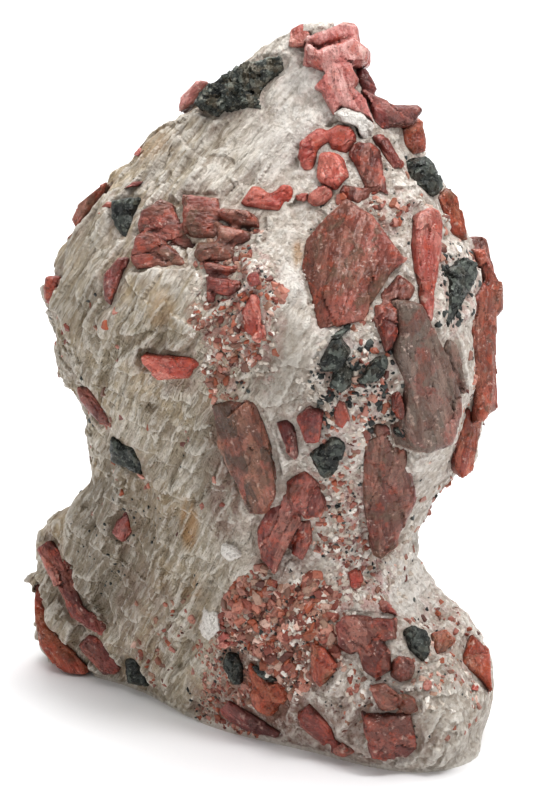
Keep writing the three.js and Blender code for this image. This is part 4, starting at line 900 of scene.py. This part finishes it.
class Look:
    """A material of nodes, painted in layers. Its methods add nodes and give back their outputs."""

    def __init__(self, name, colour=None):
        self.material = bpy.data.materials.new(name)
        self.material.use_nodes = True
        self.tree = self.material.node_tree
        self.tree.nodes.clear()
        self.colour = colour

    def node(self, kind, inputs, **settings):
        """Adds a node. inputs maps its sockets to values or to other nodes' outputs."""
        made = self.tree.nodes.new("ShaderNode" + kind)
        for name, value in settings.items():
            setattr(made, name, value)
        for name, value in inputs.items():
            if isinstance(value, bpy.types.NodeSocket):
                self.tree.links.new(value, made.inputs[name])
            else:
                made.inputs[name].default_value = value
        return made

    def calculated(self, operation, a, b):
        return self.node("Math", {0: a, 1: b}, operation=operation).outputs[0]

    def product(self, a, b):
        return self.calculated("MULTIPLY", a, b)

    def total(self, a, b):
        return self.calculated("ADD", a, b)

    def greater(self, a, b):
        return self.calculated("MAXIMUM", a, b)

    def vector(self, operation, inputs, output=0):
        return self.node("VectorMath", inputs, operation=operation).outputs[output]

    def summed(self, *vectors):
        total = vectors[0]
        for vector in vectors[1:]:
            total = self.vector("ADD", {0: total, 1: vector})
        return total

    def centred(self, values, reach):
        """A vector of values around a half, turned into one around zero."""
        away = self.vector("SUBTRACT", {0: values, 1: (0.5, 0.5, 0.5)})
        return self.vector("SCALE", {0: away, "Scale": reach})

    def step(self, value, low, high):
        """0 where the value is before low, 1 past high, and smooth between."""
        inputs = {"Value": value, "From Min": low, "From Max": high}
        return self.node("MapRange", inputs, interpolation_type="SMOOTHSTEP").outputs["Result"]

    def between(self, value, low, high):
        return self.node("MapRange", {"Value": value, "To Min": low, "To Max": high}).outputs["Result"]

    def mixed(self, share, first, second):
        return self.node("Mix", {0: share, 6: first, 7: second}, data_type="RGBA").outputs[2]

    def paint(self, strength, pigment, share, *where):
        """Lays a pigment over the colour, as strongly as said, by the product of the shares."""
        for factor in (*where, strength):
            share = self.product(share, factor)
        self.colour = self.mixed(share, self.colour, srgb(*pigment))

    def layer(self, value, low, high, strength, pigment, *where):
        """Paints where a value is past a step."""
        self.paint(strength, pigment, self.step(value, low, high), *where)

    def attribute(self, name, output="Fac"):
        return self.node("Attribute", {}, attribute_name=name, attribute_type="GEOMETRY").outputs[output]

    def place(self):
        """Where a point of the surface is, in millimetres."""
        return self.vector("SCALE", {0: self.node("TexCoord", {}).outputs["Object"], "Scale": METRE})

    def along(self, place, axes, sizes):
        """A place measured along other axes, in units of the given sizes."""
        parts = {}
        for name, axis, size in zip("XYZ", axes, sizes):
            parts[name] = self.vector("DOT_PRODUCT", {0: place, 1: tuple(axis / size)}, "Value")
        return self.node("CombineXYZ", parts).outputs[0]

    def warped(self, place, size, reach):
        """A place moved about by noise, so that what is drawn at it bends."""
        drift = self.node("TexNoise", {"Vector": place, "Scale": 1 / size, "Detail": 2.0}).outputs["Color"]
        return self.summed(place, self.centred(drift, reach))

    def noise(self, place, size, detail=3.0, roughness=0.55, warp=0.0):
        inputs = {
            "Vector": place, "Scale": 1 / size, "Detail": detail, "Roughness": roughness, "Distortion": warp,
        }
        return self.node("TexNoise", inputs).outputs["Fac"]

    def spots(self, place, size, low, high, detail=3.0, warp=0.0):
        """Spots of about the given size, more of them the lower low is."""
        return self.step(self.noise(place, size, detail, 0.6, warp), low, high)

    def cracks(self, place, axes, sizes, width):
        """1 on the borders of cells of the given sizes, 0 away from them."""
        units = {"Vector": self.along(place, axes, sizes), "Scale": 1.0}
        cell = self.node("TexVoronoi", units, feature="DISTANCE_TO_EDGE")
        return self.step(cell.outputs["Distance"], width, 0.0)

    def streaks(self, place, axes, sizes, detail=3.0):
        return self.noise(self.along(place, axes, sizes), 1.0, detail, 0.6)

    def cells(self, place, axes, sizes, strength):
        """A turn of the normal and a random value, each the same all over one cell of the given sizes."""
        units = {"Vector": self.along(place, axes, sizes), "Scale": 1.0}
        cell = self.node("TexVoronoi", units).outputs["Color"]
        return self.centred(cell, strength), self.node("SeparateColor", {"Color": cell}).outputs[0]

    def crevice_shade(self):
        """Painted shade between the pieces: how dark the crevices are painted where something near hides the
        light.
        """
        return self.product(self.step(self.attribute("crevice"), 0.12, 0.55), 0.85)

    def tilted(self, *tilts):
        """The normal, turned."""
        normal = self.node("NewGeometry", {}).outputs["Normal"]
        return self.vector("NORMALIZE", {0: self.summed(normal, *tilts)})

    def bumped(self, height, distance, strength, below=None):
        inputs = {"Height": height, "Distance": distance / METRE, "Strength": strength}
        if below is not None:
            inputs["Normal"] = below
        return self.node("Bump", inputs).outputs["Normal"]

    def finished(self, inputs):
        shader = self.node("BsdfPrincipled", {"Base Color": self.colour, **inputs})
        self.node("OutputMaterial", {"Surface": shader.outputs[0]})
        return self.material


def calcite_material():
    look = Look("calcite")
    place = look.place()
    sugar, beige, crisp, clean = map(look.attribute, ("sugar", "beige", "crisp", "clean"))
    stain, blush, dull, amber = map(look.attribute, ("stain", "blush", "dull", "amber"))
    near, deep, hollow = map(look.attribute, ("near", "deep", "hollow"))
    fine = look.noise(place, 2.0, 6, 0.65)
    grit = look.noise(place, 0.5, 3, 0.7)
    bent = look.warped(place, 6.0, 2.0)
    bands = look.streaks(bent, BLADE_AXES, (1.3, 11.0, 9.0))
    lines = look.streaks(bent, BLADE_AXES, (0.4, 5.0, 4.0))
    blades, _ = look.cells(bent, BLADE_AXES, (1.3, 6.0, 6.0), 0.5)
    flakes, flake_shade = look.cells(bent, BLADE_AXES, (0.5, 2.4, 2.2), 0.45)
    sugars, sugar_shade = look.cells(place, np.eye(3), (0.7, 0.7, 0.7), 0.8)
    mottling = look.step(fine, 0.34, 0.68)
    white = look.mixed(mottling, srgb(176, 165, 153), srgb(220, 212, 202))
    grey = look.mixed(mottling, srgb(154, 140, 118), srgb(197, 184, 162))
    look.colour = look.mixed(beige, white, grey)
    look.paint(0.85, (236, 231, 225), clean)
    look.layer(bands, 0.42, 0.68, 0.6, (230, 222, 210), crisp)
    look.layer(lines, 0.58, 0.72, 0.5, (118, 104, 86), crisp)
    look.layer(look.noise(place, 13, 4), 0.5, 0.64, 0.4, (186, 158, 114), beige)
    look.paint(0.35, (168, 152, 136), look.spots(place, 6.0, 0.5, 0.62, 5))
    # Painted light and shade of the small cleavage faces: some cells paler, some darker.
    look.layer(flake_shade, 0.76, 0.86, 0.32, (122, 108, 90), crisp)
    look.layer(flake_shade, 0.24, 0.14, 0.5, (238, 232, 222), crisp)
    look.layer(sugar_shade, 0.74, 0.84, 0.36, (146, 134, 124), sugar)
    look.layer(sugar_shade, 0.3, 0.2, 0.5, (240, 236, 230), sugar)
    # Painted shade with a greyer tone over the darker zones.
    look.paint(0.6, (120, 108, 92), dull)
    look.layer(bands, 0.3, 0.6, 0.75, (172, 128, 72), amber)
    rosy = look.greater(blush, look.product(near, 0.2))
    look.paint(0.65, (182, 120, 114), look.spots(place, 2.2, 0.44, 0.6), rosy)
    look.paint(0.85, (128, 84, 68), look.spots(place, 3.0, 0.3, 0.56), stain)
    marked = look.greater(look.greater(blush, stain), look.product(near, 0.3))
    look.paint(0.9, (104, 58, 54), look.spots(place, 0.9, 0.58, 0.66, 2), look.total(marked, 0.02))
    look.paint(0.8, (58, 50, 47), look.spots(place, 0.55, 0.66, 0.72, 2), look.total(marked, 0.03))
    # Painted shade: darker in the calcite's broad hollows, in its narrow ones and in the crevices between the
    # pieces.
    look.layer(deep, 0.2, 1.6, 0.25, (128, 112, 92))
    look.layer(hollow, 0.03, 0.25, 0.38, (116, 100, 80))
    look.paint(0.2, (96, 82, 68), look.crevice_shade())
    # Painted highlight: paler on the calcite's ridges and edges.
    look.layer(hollow, -0.03, -0.2, 0.5, (236, 231, 222))
    turns = {0: crisp, 4: sugars, 5: look.summed(blades, flakes)}
    turn = look.node("Mix", turns, data_type="VECTOR").outputs[1]
    normal = look.bumped(look.product(lines, crisp), 0.7, 0.8, look.tilted(turn))
    normal = look.bumped(fine, 0.6, 0.8, normal)
    normal = look.bumped(grit, 0.3, 1.0, normal)
    return look.finished({"Roughness": look.between(fine, 0.36, 0.66), "Normal": normal})


def rhodonite_material(name, face, deep, pale, altered, altered_share):
    """Rhodonite of one look: its fresh face, its deeper patches, its pale streaks and rims (the rims a
    painted highlight) and its altered crust.
    """
    look = Look("rhodonite_" + name)
    place, own = look.place(), look.attribute("own", "Vector")
    hollow, shade, facet = map(look.attribute, ("hollow", "shade", "facet"))
    bent = look.warped(own, 4.0, 1.2)
    ribs, rib_shade = look.cells(bent, np.eye(3), (6.0, 1.6, 1.6), 0.34)
    flakes, flake_shade = look.cells(bent, np.eye(3), (1.2, 0.5, 0.5), 0.5)
    seams = look.cracks(bent, np.eye(3), (12.0, 3.4, 3.4), 0.03)
    streaks = look.streaks(bent, np.eye(3), (5.0, 0.7, 0.7), 4)
    grit = look.noise(place, 0.45, 3, 0.7)
    patches = look.noise(place, 3.2, 5, 0.65, 0.4)
    patches = look.total(patches, look.product(look.total(shade, -0.5), 0.2))
    tone = look.noise(place, 9.0, 2)
    look.colour = look.mixed(look.step(patches, 0.38, 0.6), srgb(*face), srgb(*deep))
    look.layer(tone, 0.48, 0.6, 0.45, altered)
    look.layer(tone, 0.5, 0.38, 0.35, (184, 104, 96))
    look.layer(facet, 0.2, 1.2, 0.25, pale)
    look.layer(facet, 0.0, -1.0, 0.5, deep)
    look.paint(0.6 - 0.6 * altered_share, (182, 78, 50), look.spots(place, 2.6, 0.52, 0.66, 3, 0.3))
    edge = 0.62 - 0.24 * altered_share
    look.paint(min(1.0, 0.45 + altered_share), altered, look.spots(place, 5.0, edge, edge + 0.1, 6, 0.5))
    look.layer(streaks, 0.56, 0.72, 0.35, pale)
    look.layer(rib_shade, 0.6, 0.95, 0.3, pale)
    look.layer(flake_shade, 0.66, 0.9, 0.5, deep)
    look.layer(grit, 0.53, 0.65, 0.55, RHODONITE_DARK)
    look.paint(0.5, (206, 180, 166), look.spots(place, 2.4, 0.6, 0.72, 8))
    glints = look.spots(place, 0.6, 0.56, 0.66, 3)
    look.paint(0.6, (220, 194, 182), glints, look.spots(place, 3.0, 0.5, 0.7))
    look.layer(look.noise(place, 3.0), 0.45, 0.6, 0.5, RHODONITE_DARK, seams)
    # Painted highlight on the crystal's edges, and painted shade in its hollows and in the crevices round it.
    look.layer(hollow, -0.08, -0.28, 0.55, pale)
    look.layer(hollow, 0.02, 0.18, 0.8, RHODONITE_DARK)
    look.paint(0.75, (44, 27, 23), look.crevice_shade())
    normal = look.bumped(streaks, 0.3, 0.5, look.tilted(ribs, flakes))
    normal = look.bumped(grit, 0.2, 0.6, normal)
    return look.finished({"Roughness": look.between(patches, 0.14, 0.46), "Normal": normal})


def franklinite_material():
    look = Look("franklinite")
    place, hollow = look.place(), look.attribute("hollow")
    bent = look.warped(place, 3.0, 1.0)
    tilts, highlight_cells = look.cells(bent, np.eye(3), (1.1, 1.1, 1.1), 0.9)
    patches = look.noise(place, 2.2, 5, 0.6)
    grit = look.noise(place, 0.45, 4, 0.65)
    hackly = look.step(look.attribute("hackly"), 0.6, 0.9)
    look.colour = look.mixed(look.step(patches, 0.35, 0.65), srgb(28, 30, 29), srgb(66, 70, 66))
    # Painted highlight: some cells of its small faces made paler.
    look.layer(highlight_cells, 0.6, 0.95, 0.6, (112, 118, 110))
    brown = look.total(look.product(hackly, 0.45), 0.25)
    look.paint(0.7, (104, 92, 74), look.spots(place, 2.4, 0.5, 0.6), brown)
    look.paint(0.45, (150, 148, 136), look.spots(place, 1.5, 0.52, 0.6, 5), hackly)
    look.layer(grit, 0.58, 0.7, 0.6, (150, 150, 140))
    # Painted shade in its hollows and in the crevices round it.
    look.paint(0.6, (18, 18, 16), look.greater(look.step(hollow, 0.04, 0.25), look.crevice_shade()))
    shine = look.between(patches, 0.05, 0.24)
    normal = look.bumped(grit, 0.3, 0.7, look.tilted(tilts))
    return look.finished({"Roughness": shine, "Normal": normal, "Metallic": 0.35})


def grain_material(name, shades, dark):
    """Small grains: each has its own shade."""
    look = Look(name)
    grit = look.noise(look.place(), 0.6, 4, 0.65)
    ramp = look.node("ValToRGB", {"Fac": look.attribute("shade")})
    elements = ramp.color_ramp.elements
    while len(elements) < len(shades):
        elements.new(0.5)
    for index, (element, paint) in enumerate(zip(elements, shades)):
        element.position = index / (len(shades) - 1)
        element.color = srgb(*paint)
    look.colour = ramp.outputs["Color"]
    look.layer(grit, 0.5, 0.68, 0.6, dark)
    return look.finished({"Roughness": 0.42, "Normal": look.bumped(grit, 0.25, 0.7)})


# the stone


def dress(name, mesh, material, slot, *nodes):
    """Makes a mesh a piece of the stone, in the place of nodes where some are given."""
    mesh.materials.clear()
    mesh.materials.append(material)
    piece = new_object(name, mesh)
    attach(piece, "root")
    if nodes:
        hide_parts(*nodes)


def crystal_meshes(nodes, looks):
    """The rhodonite crystals and the large franklinite grains."""
    meshes = {}
    for seed, node in enumerate(nodes):
        shaper = rhodonite_mesh if node in looks else hackly_mesh
        shape = swollen(node_mesh(node), CRYSTAL_SWELL)
        meshes[node] = shaper(shape, CRYSTAL_STEP, node + "_look", seed * 11 + 3)
    return meshes


def sliver_meshes(front):
    meshes = {}
    for seed, (name, (look, outline)) in enumerate(SLIVERS.items()):
        shaper = hackly_mesh if look in OTHER_SLOTS else rhodonite_mesh
        rise = WHITE_RISE if look == "white" else SLIVER_RISE
        meshes[name] = shaper(sliver_shape(outline, front, rise), SLIVER_STEP, name, 900 + seed * 11)
    return meshes


def stone_materials():
    materials = {look: rhodonite_material(look, *paints) for look, paints in RHODONITE_PIGMENTS.items()}
    materials["black"] = franklinite_material()
    materials["white"] = calcite_material()
    return materials


def build_stone():
    nodes = sorted(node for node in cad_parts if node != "calcite_matrix")
    looks = {"rhodonite_" + name: look for look, names in RHODONITE_LOOKS.items() for name in names}
    crystals = crystal_meshes(nodes, looks)
    crystal_tree = tree_of(map(shape_of, crystals.values()))
    calcite = calcite_mesh(nodes, crystal_tree)
    calcite_tree = tree_of([shape_of(calcite)])
    slivers = sliver_meshes(tree_of(map(shape_of, [calcite, *crystals.values()])))
    grains = {mineral: grain_mesh(mineral, calcite_tree, crystal_tree) for mineral in GRAIN_SHADES}
    mark_calcite(calcite, crystal_tree)
    for name, mesh in slivers.items():
        if SLIVERS[name][0] == "white":
            mark_white(mesh)
    solid = [calcite, *crystals.values(), *slivers.values()]
    everything = tree_of(map(shape_of, solid))
    for mesh in solid:
        mark(mesh, crevice=crevices(mesh, everything))
    materials = stone_materials()
    for node, mesh in crystals.items():
        look = looks.get(node, "black")
        dress(node + "_look", mesh, materials[look], OTHER_SLOTS.get(look, "rhodonite"), node)
    dress("calcite_look", calcite, materials["white"], "calcite", "calcite_matrix")
    for name, mesh in slivers.items():
        look = SLIVERS[name][0]
        dress(name, mesh, materials[look], OTHER_SLOTS.get(look, "rhodonite"))
    for mineral, mesh in grains.items():
        material = grain_material(mineral + "_grains", *GRAIN_SHADES[mineral])
        dress(mineral + "_grains", mesh, material, mineral)


# the studio


def build_floor():
    half = FLOOR_SIZE / 2
    corners = [(-half, -half, 0), (half, -half, 0), (half, half, 0), (-half, half, 0)]
    floor = new_object("floor", mesh_from(corners, [(0, 1, 2, 3)], "floor"))
    look = Look("floor", srgb(*FLOOR_COLOUR))
    floor.data.materials.append(look.finished({"Roughness": 0.9, "Specular IOR Level": 0.2}))


def turn_toward(thing, direction):
    """Lets a lamp or a camera look in a direction."""
    thing.rotation_mode = "QUATERNION"
    thing.rotation_quaternion = Vector(direction).to_track_quat("-Z", "Y")


def build_light():
    for name, (place, size, power) in LAMPS.items():
        data = bpy.data.lights.new(name, "AREA")
        data.shape = "DISK"
        data.size = size / METRE
        data.energy = power
        lamp = new_object(name, data)
        lamp.location = Vector(place) / METRE
        turn_toward(lamp, VIEW_TARGET - place)
    world = bpy.data.worlds.new("studio")
    world.use_nodes = True
    background = world.node_tree.nodes["Background"]
    background.inputs["Color"].default_value = (1.0, 1.0, 1.0, 1.0)
    background.inputs["Strength"].default_value = SKY_STRENGTH
    bpy.context.scene.world = world
    bpy.context.scene.view_settings.view_transform = "Standard"
    bpy.context.scene.view_settings.look = "Medium High Contrast"


def build_camera():
    data = bpy.data.cameras.new("camera")
    data.sensor_width = SENSOR
    data.lens = SENSOR * VIEW_DISTANCE / VIEW_HEIGHT
    data.clip_start = CLIP_START / METRE
    data.clip_end = CLIP_END / METRE
    camera = new_object("camera", data)
    _, ahead, _ = view_axes(0)
    camera.location = Vector(VIEW_TARGET - ahead * VIEW_DISTANCE) / METRE
    turn_toward(camera, ahead)
    bpy.context.scene.camera = camera


build_stone()
build_floor()
build_light()
build_camera()
